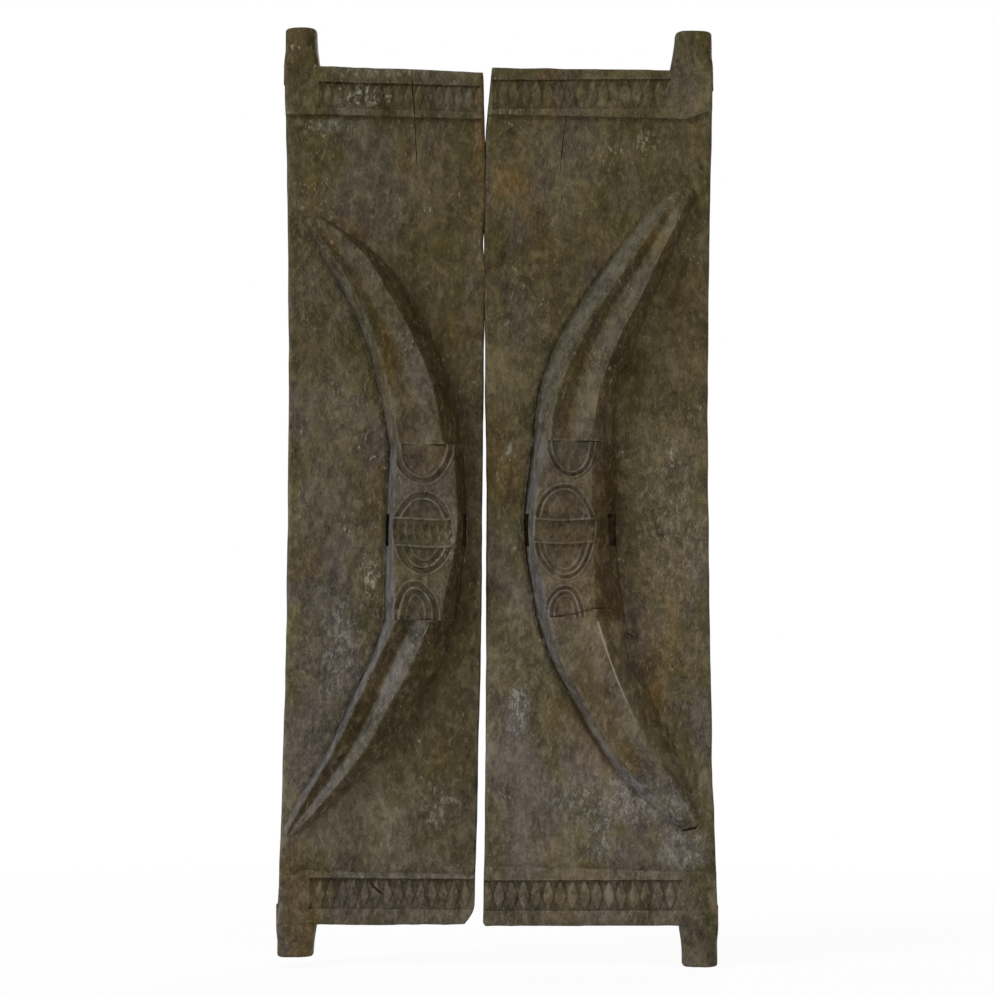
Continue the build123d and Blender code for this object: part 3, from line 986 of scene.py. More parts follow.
    def make(self) -> Material:
        """Builds the material.

        Returns:
            The finished material.
        """
        material = bpy.data.materials.new(self.name)
        bench = Bench.cleared(material)
        on = Patterns(bench, self.seed)
        tint = self.marked(bench, on, self.painted_light_and_wear(bench, on, self.ground(bench, on)))
        height = on.grain * 0.3 + on.strokes * 0.7 + on.mottle * 1.4 + on.lumps * 1.6
        height = height - on.scratch * 0.2 + on.chip * 0.25
        relief = {"Strength": 0.9, "Distance": self.relief, "Height": height}
        inputs = {"Base Color": tint, "Roughness": 0.5 + on.mottle * 0.3 - on.wear_and_highlight * 0.06}
        inputs |= {"Normal": bench.add("ShaderNodeBump", inputs=relief)}
        inputs |= {"Specular IOR Level": self.shine}
        shader = bench.add("ShaderNodeBsdfPrincipled", inputs=inputs)
        bench.add("ShaderNodeOutputMaterial", inputs={"Surface": shader})
        return material


@dataclass
class DoorLeaf:
    """One leaf hewn from a plank: body, pins, horn, carved band and chip-carved rows, in metres.

    Distances along the leaf run from the pivot axis to the meeting edge. The tunnel holds its
    depth, height and level, and the foot cut its half width, depth and share of the limbs.
    """

    node: str
    side: Side
    reach: float
    low: float
    high: float
    top_fall: float
    foot: float
    top: float
    bottom_radius: float
    top_radius: float
    top_flare: Pair
    bottom_flare: Pair
    edge_hollow: float
    slack: float
    edge_shares: tuple[Pair, ...]
    corner: Pair
    lower_line: tuple[Pair, ...]
    upper_line: tuple[Pair, ...]
    horn: Horn
    motif: Motif
    rows: tuple[Row, ...]
    scores: tuple[Score, ...]
    finish: AgedWood
    pivot: float = 0.318
    recess: float = 0.006
    back: float = 0.052
    tunnel: Triple = (0.024, 0.05, 0.685)
    tunnel_sink: float = 0.003
    foot_cut: Triple = (0.0013, 0.0022, 0.985)
    # Strength of the painted contact shadow at the horn's left foot and of the painted shadow
    # beside its right side.
    painted_foot_shadow: float = 0.8
    painted_lee_shadow: float = 0.55
    edge_round: float = 0.005
    round_shares: tuple[float, ...] = (0.0, 0.12, 0.32, 0.62, 1.0)
    lip: float = 0.0011
    hewing: float = 0.0013
    grid: float = 0.0036
    pin_round: float = 0.0045
    pin_sink: float = 0.03
    crease_degrees: float = 42.0
    seed: float = 1.0
    piece: Piece = field(init=False)

    def x(self, along: Any) -> Any:
        """Place along x from a distance along the leaf."""
        return self.side.value * (self.pivot - along)

    def turned(self, loops: Points) -> Points:
        """Loops in the order that points the faces outwards on this side."""
        return loops[:, ::-1] if self.side is Side.RIGHT else loops

    def ordered(self, values: Sequence[Any]) -> Sequence[Any]:
        """Values from the pivot side to the meeting side, put in order from left to right."""
        return values[::-1] if self.side is Side.RIGHT else values

    def outer_edge(self, level: Points) -> Points:
        """Distance of the hollow pivot edge from the pivot axis.

        Args:
            level: Levels.

        Returns:
            The distances.
        """
        share = portion(level, self.low, self.high)
        straight = self.bottom_radius + share * (self.top_radius - self.bottom_radius)
        return 4.0 * share * (1.0 - share) * self.edge_hollow - straight + self.hewing

    def meeting_edge(self, level: Points) -> Points:
        """Distance of the wavy meeting edge from the pivot axis.

        Args:
            level: Levels.

        Returns:
            The distances.
        """
        knots = [self.low + share * (self.high - self.low) for share, _ in self.edge_shares]
        back = flow(level, knots, [slack * self.slack for _, slack in self.edge_shares])
        run, rise = self.corner
        chip = np.clip(1.0 - (level - self.low) / rise, 0.0, 1.0)
        return self.reach - back - run * chip**1.6

    def rungs(self, ease: Points) -> tuple[Points, Points]:
        """Heights of the plank's rows of points, close together at its ends and at both bands.

        Args:
            ease: Insets of the rows that round an edge.

        Returns:
            The rows' heights above the plank's lower end, and those of its ends and bands.
        """
        lip, height = self.lip, self.high - self.low
        lower = np.array(self.lower_line)[:, 1].mean() - self.low
        upper = np.array(self.upper_line)[:, 1].mean() - self.low
        parts = []
        for start, end in ((0.0, lower), (lower, upper), (upper, height)):
            lead = start + (lip if start else 0.0)
            tail = end - (lip if end < height else 0.0)
            parts.append(np.linspace(lead, tail, max(3, int((tail - lead) / self.grid))))
        parts[0] = np.concatenate([ease, parts[0][parts[0] > ease[-1] + lip]])
        below = parts[-1][parts[-1] < height - ease[-1] - lip]
        parts[-1] = np.concatenate([below, height - ease[::-1]])
        marks = [0.0, lower - lip, lower + lip, upper - lip, upper + lip, height]
        return np.concatenate(parts), np.array(marks)

    def lay(self, rungs: tuple[Points, Points], shares: Points, depth_share: float) -> Points:
        """Points over the plank.

        Args:
            rungs: The rows' heights, and those of the plank's ends and bands.
            shares: Shares of the plank's width.
            depth_share: From the front (0) to the back (1).

        Returns:
            Points by row, by share and by axis.
        """
        levels, marks = rungs
        guess = self.low + levels[:, None] + 0.0 * shares[None, :]
        outer = self.outer_edge(guess)
        along = outer + shares[None, :] * (self.meeting_edge(guess) - outer)
        knots = [np.full(along.shape, self.low)]
        for line in (self.lower_line, self.upper_line):
            middle = np.interp(along, *np.array(line).T)
            knots += [middle - self.lip, middle + self.lip]
        knots.append(self.high - np.clip(along / self.reach, 0.0, 1.0) * self.top_fall)
        knots = np.stack(knots)
        spot = np.clip(np.searchsorted(marks, levels, side="right") - 1, 0, len(marks) - 2)
        share = (levels - marks[spot]) / (marks[spot + 1] - marks[spot])
        row = np.arange(len(levels))
        below, above = knots[spot, row], knots[spot + 1, row]
        level = below + share[:, None] * (above - below)
        sunk = step(levels, marks[1], marks[2]) - step(levels, marks[3], marks[4])
        front = self.recess * (1.0 - sunk[:, None])
        rim = np.minimum(levels, marks[-1] - levels)[:, None]
        side = np.minimum(shares, 1.0 - shares)[None, :] * (self.reach + self.bottom_radius)
        near = np.clip(1.0 - np.minimum(rim, side) / self.edge_round, 0.0, 1.0)
        drop = self.edge_round * (1.0 - np.sqrt(1.0 - near * near))
        y = (drop - front) * (1.0 - depth_share) + (self.back - drop) * depth_share
        return np.stack([self.x(along), y, level], -1)

    def plank(self) -> Piece:
        """The plank with raised bands, a sunk field and worn edges.

        Returns:
            The closed plank.
        """
        back_columns, edge_rows = 20, 7
        ease = np.array(self.round_shares) * self.edge_round
        width = self.reach + self.bottom_radius
        middle = np.linspace(ease[-1], width - ease[-1], int(width / self.grid))[1:-1]
        columns = np.concatenate([ease, middle, width - ease[::-1]]) / width
        inner = np.linspace(0.04, 0.96, back_columns)
        behind = np.concatenate([columns[:5:2], inner, columns[-5::2]])
        rungs = self.rungs(ease)
        loops = [self.lay(rungs, columns, 0.0)]
        for depth in np.linspace(0.0, 1.0, edge_rows)[1:-1]:
            loops.append(self.lay(rungs, np.array([1.0]), depth))
        loops.append(self.lay(rungs, behind, 1.0)[:, ::-1])
        for depth in np.linspace(1.0, 0.0, edge_rows)[1:-1]:
            loops.append(self.lay(rungs, np.array([0.0]), depth))
        return skin(f"{self.node}_plank", self.turned(np.concatenate(loops, axis=1)))

    def facets(self, limb: Limb, ladder: Points) -> list[Points]:
        """The limb's wall, crest, groove, ridge and foot, drawn together at its round nose.

        Args:
            limb: The limb's sizes.
            ladder: Shares of its length.

        Returns:
            Their distances along the leaf, from left to right, and then the relief.
        """
        table = flow_table(ladder, limb.stations)
        lines = self.ordered([table[:, column] * self.reach for column in range(5)])
        tip = np.clip((ladder - 1.0 + limb.nose) / limb.nose, 0.0, 1.0)
        close = np.sqrt(1.0 - 0.998 * tip * tip)
        middle = (lines[0] + lines[4]) / 2.0
        lines = [middle + (line - middle) * close for line in lines]
        return [*lines, table[:, 5] * self.horn.relief * close**0.7]

    def band_lines(self, share: Points) -> Sequence[Points]:
        """Distances of the band's wall, crest, brow and foot along the leaf, from left to right.

        Args:
            share: Shares of the band's length.

        Returns:
            The four lines.
        """
        table = flow_table(share, self.horn.band_stations)
        return self.ordered([table[:, column] * self.reach for column in range(4)])

    def limb(self, name: str, limb: Limb) -> Piece:
        """A tapering limb of the horn with two crests and a groove, rounded off at its tip.

        Args:
            name: The object's name.
            limb: The limb's sizes.

        Returns:
            The closed limb.
        """
        count = int(abs(limb.end - limb.start) / self.horn.limb_step)
        ladder = np.linspace(0.0, 1.0, count)
        wall, crest, groove, ridge, foot, relief = self.facets(limb, ladder)
        crest_top, groove_top, ridge_top = self.ordered(limb.height_shares)
        rise_points, dip_points, fall_points = 8, 11, 13
        rise = np.linspace(0.0, 1.0, rise_points)[:-1]
        dip = np.linspace(0.0, 1.0, dip_points)[:-1]
        fall = np.linspace(0.0, 1.0, fall_points)
        wave = 0.72 * dip + 0.14 * (1.0 - np.cos(math.pi * dip))
        profile = [(wall, crest, s, crest_top * (0.75 * s + 0.25 * s**0.5)) for s in rise]
        sides = ((crest, groove, crest_top, groove_top), (groove, ridge, groove_top, ridge_top))
        for left, right, start, end in sides:
            profile += [(left, right, s, start + (end - start) * w) for s, w in zip(dip, wave)]
        profile += [(ridge, foot, s, ridge_top * (1.0 - 0.7 * s - 0.3 * s**2.2)) for s in fall]
        cleft = (0.5 + 0.5 * step(ladder, 0.0, 0.22)) * (1.0 - 0.85 * step(ladder, 0.84, 0.98))
        root = np.full(count, -self.horn.root)
        columns = [(wall, root)]
        for left, right, share, height in profile:
            along = left + (right - left) * share
            smooth = dome(along, wall, crest, ridge, foot)
            columns.append((along, relief * (smooth + (height - smooth) * cleft)))
        columns.append((foot, root))
        level = limb.start + ladder * (limb.end - limb.start)
        loops = np.stack([np.stack([self.x(u), -h, level], -1) for u, h in columns], axis=1)
        return skin(name, loops if limb.end > limb.start else loops[::-1])

    def carving(self, along: Points, level: Points) -> Points:
        """Depth of the band's carving: sunk grounds between thin raised fillets.

        Args:
            along: Distances along the leaf.
            level: Levels.

        Returns:
            How deep the surface is cut at each place.
        """
        motif, horn = self.motif, self.horn
        soft, waver = motif.soft, motif.waver
        upward, sideways = 75.0, 60.0
        stray = waver * np.sin(level * upward)
        along, level = along + stray, level + waver * np.sin(along * sideways + 1.0)
        depth, ridge = np.zeros_like(along), np.zeros_like(along)
        off = np.abs(level - motif.ring_level)
        rails = step(off, motif.rail_spacing / 2.0 - soft, motif.rail_spacing / 2.0 + soft)
        ovals = (
            ((motif.cup_center, horn.upper.start), motif.cup),
            ((motif.center, motif.ring_level), motif.ring),
            ((motif.arch_center, horn.lower.start), motif.arch),
        )
        for center, half in ovals:
            outside = oval(along, level, center, half)
            within = step(-outside, -soft, soft)
            moat = 0.5 * motif.depth * step(-outside, -motif.moat, 0.0)
            depth = np.maximum(depth, np.maximum(motif.depth * within, moat))
            for number in range(3):
                inset = number * motif.spread
                bar = motif.bar(oval(along, level, center, (half[0] - inset, half[1] - inset)))
                if half is motif.ring and number:
                    bar = bar * rails
                if number == 2:
                    bar = bar * 0.6 * step(motif.ring_level - level, 0.0, 0.01)
                ridge = np.maximum(ridge, bar)
            if half is motif.ring:
                ridge = np.maximum(ridge, motif.bar(off - motif.rail_spacing / 2.0) * within)
                lattice = np.cos(FULL_TURN * (along - motif.center) / motif.mesh[0])
                slats = np.cos(FULL_TURN * (level - motif.ring_level) / motif.mesh[1])
                cells = np.maximum(lattice, 0.8 * slats) * (1.0 - rails)
                depth = depth - motif.lattice * cells * step(-outside, 0.002, 0.006)
        return depth * (1.0 - 0.95 * ridge)

    def band(self) -> Piece:
        """The swelling middle of the horn, scored off at both ends, with its carved ovals.

        Returns:
            The closed band.
        """
        horn = self.horn
        length = horn.upper.start - horn.lower.start
        ladder = np.linspace(0.0, 1.0, int(length / horn.band_step))
        wall, crest, brow, foot = (line[:, None] for line in self.band_lines(ladder))
        ladder = ladder[:, None]
        level = horn.lower.start + ladder * length
        wall_points, face_points = 14, 96
        climb = np.linspace(0.0, 1.0, wall_points)[None, :-1]
        face = 1.0 - (1.0 - np.linspace(0.0, 1.0, face_points)[None, :]) ** 1.35
        sides = [wall + (crest - wall) * climb, crest + (foot - crest) * face]
        along = np.concatenate(sides, axis=1)
        shape = dome(along, wall, crest, brow, foot)
        swell = horn.relief + horn.crown * (1.0 - (2.0 * ladder - 1.0) ** 2)
        across = portion(along, crest, brow)
        lower = np.abs(ladder * length - horn.score_lean * across**1.6) / horn.scores[0]
        upper = (1.0 - ladder) * length / horn.scores[1]
        deep = horn.score_depth + horn.score_lean * 0.12 * across
        scored = np.maximum(deep * np.exp(-(lower**2)), horn.score_depth * np.exp(-(upper**2)))
        shelf = step(shape, 0.3, 0.6) * np.concatenate([0.0 * climb, 1.0 + 0.0 * face], axis=1)
        tall = swell * shape - (self.carving(along, level + 0.0 * along) + scored) * shelf
        root = np.full_like(wall, -horn.root)
        along = np.concatenate([wall, along, foot], axis=1)
        tall = np.concatenate([root, tall, root], axis=1)
        loops = np.stack([self.x(along), -tall, level + 0.0 * along], -1)
        return skin(f"{self.node}_band", loops)

    def pin(self, name: str, root: float, end: float, radius: float, flare: Pair) -> Piece:
        """A hewn pivot pin, squared where it leaves the leaf and rounder at its worn end.

        Args:
            name: The object's name.
            root: Level of the leaf's shoulder.
            end: Level of the pin's end.
            radius: The pin's radius.
            flare: How far its inner side leans out towards the leaf, and over which length.

        Returns:
            The closed pin.
        """
        way = math.copysign(1.0, end - root)
        length, worn = abs(end - root), self.pin_round
        shaft_rows, round_rows, around = 26, 6, 72
        roundness, squareness, tuck = 3.2, 9.0, 0.0007
        rounds = np.sin(np.linspace(0.0, math.pi / 2.0, round_rows)[1:])
        shaft = np.linspace(-self.pin_sink, length - worn, shaft_rows)
        levels = np.concatenate([shaft, length - worn + worn * rounds])
        near = ((levels - length + worn) / worn).clip(0.0, 1.0)
        shrink = worn * (1.0 - np.sqrt(1.0 - near * near))
        turn = np.linspace(0.0, FULL_TURN, around, endpoint=False)
        square = step(-levels, -self.pin_sink, 0.0)[:, None]
        power = roundness + squareness * square
        cosine, sine = np.cos(turn)[None, :], np.sin(turn)[None, :]
        reach = (np.abs(cosine) ** power + np.abs(sine) ** power) ** (-1.0 / power)
        lean = flare[0] * np.clip(1.0 - levels / flare[1], 0.0, 1.0)[:, None] ** 1.3
        along = (radius - shrink)[:, None] * reach * cosine
        along = along + lean * np.clip(along / radius, 0.0, 1.0)
        along = along - tuck * square * np.clip(-along / radius, 0.0, 1.0)
        thick = (self.back + self.recess) / 2.0
        slim = min(radius, thick)
        depth = slim - shrink[:, None] + (thick - slim) * square
        y = (self.back - self.recess) / 2.0 + depth * reach * sine
        level = root + way * levels[:, None] + 0.0 * along
        loops = np.stack([self.x(along), y, level], -1)
        order = self.turned(loops[:, ::-1])
        return skin(name, order if way > 0 else order[::-1])

    def strip(self, row: Row, seed: int) -> Piece:
        """The sunk strip of a row, with hand-cut edges, as a closed tool about the row's centre.

        Args:
            row: The row's sizes.
            seed: The seed of its unevenness.

        Returns:
            The tool.
        """
        points, unevenness, overrun = 40, 0.0003, 0.01
        upper_bevel, lower_bevel = 0.0006, 0.0012
        chance = np.random.default_rng(seed)
        half = row.length / 2.0 + row.pitch() / 2.0
        knots = np.linspace(-half, half, points)
        wobble = chance.normal(0.0, unevenness, (4, len(knots)))
        front = np.full(len(knots), -overrun)
        top = row.height / 2.0 + wobble[0]
        bottom = -row.height / 2.0 + wobble[1]
        corners = (
            (front, bottom),
            (row.depths[1] + wobble[3] * 0.6, bottom + lower_bevel),
            (row.depths[0] + wobble[2] * 0.6, top - upper_bevel),
            (front, top),
        )
        loops = np.stack([np.stack([knots, y, z], -1) for y, z in corners], axis=1)
        return skin(f"{self.node}_strip", loops)

    def lozenge(self, row: Row) -> Piece:
        """One lozenge of a row: bowed sides, bevelled edges and a slightly domed face.

        Args:
            row: The row's sizes.

        Returns:
            The closed lozenge about the origin, with its face at the surface.
        """
        rings = ((1.02, 2.2), (1.0, 1.0), (0.88, 0.4), (0.66, 0.14), (0.35, 0.04), (0.08, 0.02))
        around = 28
        turn = np.linspace(0.0, FULL_TURN, around, endpoint=False)
        cosine, sine, power = np.cos(turn), np.sin(turn), row.plumpness
        reach = (np.abs(cosine) ** power + np.abs(sine) ** power) ** (-1.0 / power)
        half_width = row.width_share * row.length / row.count / 2.0
        half_height = row.height_share * row.height / 2.0
        loops = []
        for scale, depth in rings:
            x, z = half_width * scale * reach * cosine, half_height * scale * reach * sine
            loops.append(np.stack([x, np.full(around, depth * max(row.depths)), z], -1))
        return skin(f"{self.node}_lozenge", np.array(loops))

    def cut_row(self, row: Row, tree: LozengeRow, wood: Material, seed: int) -> None:
        """Cuts a row's strip round its lozenges.

        Args:
            row: The row's sizes.
            tree: The tree that repeats the lozenges.
            wood: The wood's material.
            seed: The seed of the row's small slips.
        """
        sizes = {"Count": row.count + 2, "Pitch": row.pitch(), "Slip": row.slip}
        sizes |= {"Turn": row.turn, "Shrink": row.shrink, "Seed": seed, "Material": wood}
        lozenges = tree.run(self.lozenge(row), sizes)
        strip = self.strip(row, seed)
        carve(strip, lozenges, Cut.TAKE)
        cosine, sine = math.cos(math.radians(row.tilt)), math.sin(math.radians(row.tilt))
        spots = read(strip.data.vertices, "co", 3)
        x = spots[:, 0] * cosine - spots[:, 2] * sine + self.x(row.center)
        z = spots[:, 0] * sine + spots[:, 2] * cosine + row.level
        placed = np.stack([x, spots[:, 1] - self.recess, z], -1)
        strip.data.vertices.foreach_set("co", placed.ravel())
        carve(self.piece, strip, Cut.TAKE)

    def cut_line(self, score: Score, tree: ScoredLine, wood: Material) -> None:
        """Cuts a scored line or a crack.

        Args:
            score: The line's path and section.
            tree: The tree that sweeps the section.
            wood: The wood's material.
        """
        spacing, least_points, stray_share, uneven_share = 0.006, 6, 0.25, 0.2
        chance = np.random.default_rng(len(score.path))
        knots = np.array(score.path)
        lengths = np.linalg.norm(np.diff(knots, axis=0), axis=1)
        run = np.concatenate([[0.0], np.cumsum(lengths)])
        at = np.linspace(0.0, run[-1], max(least_points, int(run[-1] / spacing)))
        spots = np.stack([np.interp(at, run, knots[:, axis]) for axis in range(2)], -1)
        spots += chance.normal(0.0, stray_share * score.half_width, spots.shape)
        share = at / run[-1]
        width = score.ends + (1.0 - score.ends) * (4.0 * share * (1.0 - share)) ** 0.5
        width *= 1.0 + chance.uniform(-uneven_share, uneven_share, len(at))
        curve = bpy.data.curves.new(f"{self.node}_score", "CURVE")
        curve.dimensions = "3D"
        spline = curve.splines.new("POLY")
        spline.points.add(len(at) - 1)
        y = -self.recess if score.on_band else 0.0
        for point, (along, level), radius in zip(spline.points, spots, width):
            point.co = (self.x(along), y, level, 1.0)
            point.radius = radius
        path = link(f"{self.node}_score", curve)
        sizes = {"Half Width": score.half_width, "Depth": score.depth, "Material": wood}
        carve(self.piece, tree.run(path, sizes), Cut.TAKE)

    def horn_foot(self, level: Points, right: bool = False) -> Points:
        """Distance of the horn's left or right foot along the leaf.

        Args:
            level: Levels.
            right: Whether the right foot is asked for.

        Returns:
            The distances.
        """
        low, high = self.horn.lower, self.horn.upper
        feet = []
        for limb in (low, high):
            lines = self.facets(limb, portion(level, limb.start, limb.end))
            feet.append(lines[4 if right else 0])
        middle = self.band_lines(portion(level, low.start, high.start))[3 if right else 0]
        upper = np.where(level > high.start, feet[1], middle)
        return np.where(level < low.start, feet[0], upper)

    def foot_line(self) -> Score:
        """The cut along the foot of the horn's left wall, closing towards the tips.

        Returns:
            The cut.
        """
        points, end_share = 60, 0.1
        half_width, depth, spread = self.foot_cut
        limbs = (self.horn.lower, self.horn.upper)
        low, high = (limb.start + spread * (limb.end - limb.start) for limb in limbs)
        levels = np.linspace(low, high, points)
        path = tuple(zip(self.horn_foot(levels).tolist(), levels.tolist()))
        return Score(path, half_width, depth, on_band=False, ends=end_share)

    def mouths(self) -> Pair:
        """Where the tunnel's two mouths are along the leaf, at the band's feet.

        Returns:
            The distances of the mouth near the pivot and of the other one.
        """
        start, end = self.horn.lower.start, self.horn.upper.start
        share = np.array([(self.tunnel[2] - start) / (end - start)])
        lines = self.ordered(self.band_lines(share))
        return lines[0][0], lines[3][0]

    def bore(self) -> None:
        """Cuts the locking bar's tunnel through the horn's band, from foot to foot."""
        depth, height, level = self.tunnel
        spots = np.array([(0.0, 0.0), (1.0, 0.0), (1.0, 1.0), (0.0, 1.0)])
        loops = []
        for along in self.mouths():
            y = self.tunnel_sink * spots[:, 0] - depth * (1.0 - spots[:, 0])
            z = level + height * (spots[:, 1] - 0.5)
            loops.append(np.stack([np.full(4, self.x(along)), y, z], -1))
        box = skin(f"{self.node}_tunnel", self.turned(np.array(loops)))
        carve(self.piece, box, Cut.TAKE)

    def painted_light_by_face(self, spots: Points) -> Points:
        """Painted light and shade at each place on the horn, by which way its face turns to the
        light.

        Args:
            spots: Places on the leaf.

        Returns:
            From -1, painted shade in warm brown in hollows and on falls, to 1, painted light in
            cool grey on walls and fronts.
        """
        edge, field_depth, band_light_tones = -0.0005, -0.0015, (1.0, 0.22, -0.95)
        horn, sign = self.horn, -self.side.value
        along = self.pivot - self.side.value * spots[:, 0]
        level = spots[:, 2]
        light_tones = np.zeros(len(spots))
        for limb in (horn.lower, horn.upper):
            share = (level - limb.start) / (limb.end - limb.start)
            lines = self.facets(limb, np.clip(share, 0.0, 1.0))
            tone = np.zeros(len(spots))
            for value, left, right in zip(limb.light_tones, lines[:4], lines[1:5]):
                tone[(sign * (along - left) >= edge) & (sign * (along - right) < 0.0)] = value
            on = (share > 0.0) & (share < 1.0)
            light_tones = np.where(on, tone * (1.0 - 0.35 * step(share, 0.8, 1.0)), light_tones)
        share = (level - horn.lower.start) / (horn.upper.start - horn.lower.start)
        on = (share >= 0.0) & (share <= 1.0)
        lines = self.band_lines(np.clip(share, 0.0, 1.0))
        for value, left, right in zip(band_light_tones, lines, lines[1:]):
            least = edge if left is lines[0] else 0.0
            inside = (sign * (along - left) >= least) & (sign * (along - right) < 0.0)
            light_tones[on & inside] = value
        light_tones[spots[:, 1] > field_depth] = 0.0
        return light_tones

    def bored(self, along: Points, spots: Points) -> Points:
        """Which places lie on the walls of the tunnel.

        Args:
            along: Distances along the leaf.
            spots: Places on the leaf.

        Returns:
            True for each such place.
        """
        depth, height, level = self.tunnel
        room, floor = 0.001, 0.02
        mouths = self.mouths()
        across = (along > mouths[0]) & (along < mouths[1])
        tall = np.abs(spots[:, 2] - level) < height / 2.0 + room
        return across & tall & (spots[:, 1] > -depth - room) & (spots[:, 1] < floor)

    def row_floor_shade(self, row: Row, spots: Points) -> Points:
        """How much painted shade the ground between a row's lozenges gets, more the deeper it
        lies.

        Args:
            row: The row's sizes.
            spots: Places on the leaf.

        Returns:
            From 0, unshaded, to about 0.8.
        """
        strength, clean, side_room, end_room = 0.78, 0.0004, 0.001, 0.01
        across = spots[:, 0] - self.x(row.center)
        drop = spots[:, 2] - row.level - math.tan(math.radians(row.tilt)) * across
        inside = np.abs(across) < row.length / 2.0 + end_room
        inside = inside & (np.abs(drop) < row.height / 2.0 + side_room)
        low = np.clip((spots[:, 1] + self.recess - clean) / max(row.depths), 0.0, 1.0)
        return strength * (low * (spots[:, 1] < 0.0)) * inside

    def painted_shade(self, along: Points, spots: Points, bulge: Points) -> Points:
        """How much painted shade each place gets: hollows, the horn's feet, the carving and the
        rows.

        Args:
            along: Distances along the leaf.
            spots: Places on the leaf.
            bulge: How far each place stands out.

        Returns:
            From 0, unshaded, to 1.
        """
        fade, hollow = 0.15, (0.05, 0.35)
        contact_fade, contact_depths = (0.001, 0.009), (-0.012, 0.02)
        lee_start, lee_reach, lee_depth = -0.002, 0.045, 0.012
        ground_share, face_depth = 0.34, -0.02
        low, high = self.horn.lower, self.horn.upper
        y, level = spots[:, 1], spots[:, 2]
        ends = step(level, low.end, low.end + fade)
        ends = ends * (1.0 - step(level, high.end - fade, high.end))
        # Painted contact shadow along the foot of the horn's left wall, a little way up the wall.
        off = np.abs(along - self.horn_foot(level))
        contact_shade = self.painted_foot_shadow * ends * (1.0 - step(off, *contact_fade))
        contact_shade = contact_shade * (y > contact_depths[0]) * (y < contact_depths[1])
        # Painted shade in the carving's sunk grounds, darker where cut deeper.
        sunk = ground_share * self.carving(along, level) / self.motif.depth
        on_band = (level > low.start) & (level < high.start) & (y < face_depth)
        # Painted shadow on the field beside the horn's right side, away from the light.
        past = -self.side.value * (along - self.horn_foot(level, right=True))
        lee_shadow = self.painted_lee_shadow * ends * (past > lee_start) * (1.0 - step(past, 0.0, lee_reach))
        lee_shadow = lee_shadow * (np.abs(y) < lee_depth)
        # Painted shade in hollows and in the tunnel, whose walls count as the deepest hollow.
        layers = [step(-bulge, *hollow), contact_shade, sunk * on_band, lee_shadow]
        layers += [self.row_floor_shade(row, spots) for row in self.rows]
        return np.max(layers, axis=0)

    def wear_and_highlight(self, along: Points, spots: Points, bulge: Points) -> Points:
        """How worn each place is: edges that stand out; and a painted highlight along a limb's
        arris.

        Args:
            along: Distances along the leaf.
            spots: Places on the leaf.
            bulge: How far each place stands out.

        Returns:
            From 0 to 1, and above 1 for the painted highlight on the arris.
        """
        half_width, least_relief, proud = 0.0013, -0.005, (0.03, 0.2)
        wear_and_highlight = step(bulge, *proud)
        for limb in (self.horn.lower, self.horn.upper):
            share = (spots[:, 2] - limb.start) / (limb.end - limb.start)
            line = self.facets(limb, np.clip(share, 0.0, 1.0))[3]
            # Painted highlight along part of the right crest, brightest near the band.
            highlit = (share > limb.arris[0]) & (share < limb.arris[1])
            highlit = highlit & (np.abs(along - line) < half_width) & (spots[:, 1] < least_relief)
            fade = 1.7 - 0.7 * np.clip(share / max(limb.arris[1], 0.1), 0.0, 1.0) ** 3
            wear_and_highlight = np.where(highlit, fade, wear_and_highlight)
        return wear_and_highlight

    def age(self) -> None:
        """Stores each place's worn edges and painted highlight, painted shade, and painted light
        by face.
        """
        mesh = self.piece.data
        net = Net(mesh)
        spots = net.spots
        along = self.pivot - self.side.value * spots[:, 0]
        # The tunnel's walls count as the deepest hollow, so they get full painted shade.
        bulge = np.where(self.bored(along, spots), -1.0, net.bulge())
        layers = {
            "wear_and_highlight": self.wear_and_highlight(along, spots, bulge),
            "painted_shade": self.painted_shade(along, spots, bulge),
            "painted_light": net.spread(self.painted_light_by_face(spots), PAINTED_LIGHT_KEEP),
        }
        for name, values in layers.items():
            layer = mesh.attributes.new(name, "FLOAT", "POINT")
            layer.data.foreach_set("value", values.astype(np.float32))

    def build(self, adze: AdzeMarks, lozenges: LozengeRow, knife: ScoredLine) -> None:
        """Builds the whole leaf as one closed mesh.

        Args:
            adze: The tree that hews a surface.
            lozenges: The tree that repeats a row's lozenges.
            knife: The tree that sweeps a scored line.
        """
        wood = self.finish.make()
        name, horn = self.node, self.horn
        self.piece = self.plank()
        adze.run(self.piece, BROAD_HEWING.inputs(self.seed, wood))
        self.piece.name = f"{name}_wood"
        pins = (
            ("top_pin", self.high, self.top, self.top_radius, self.top_flare),
            ("bottom_pin", self.low, self.foot, self.bottom_radius, self.bottom_flare),
        )
        tools = [
            (self.limb(f"{name}_upper_limb", horn.upper), FINE_HEWING),
            (self.limb(f"{name}_lower_limb", horn.lower), FINE_HEWING),
            *((self.pin(f"{name}_{pin[0]}", *pin[1:]), FINE_HEWING) for pin in pins),
            (self.band(), LIGHT_HEWING),
        ]
        for tool, hewing in tools:
            adze.run(tool, hewing.inputs(self.seed, wood))
            carve(self.piece, tool, Cut.ADD)
        self.bore()
        for number, row in enumerate(self.rows):
            self.cut_row(row, lozenges, wood, number)
        for score in (*self.scores, self.foot_line()):
            self.cut_line(score, knife, wood)
        self.dress(wood)

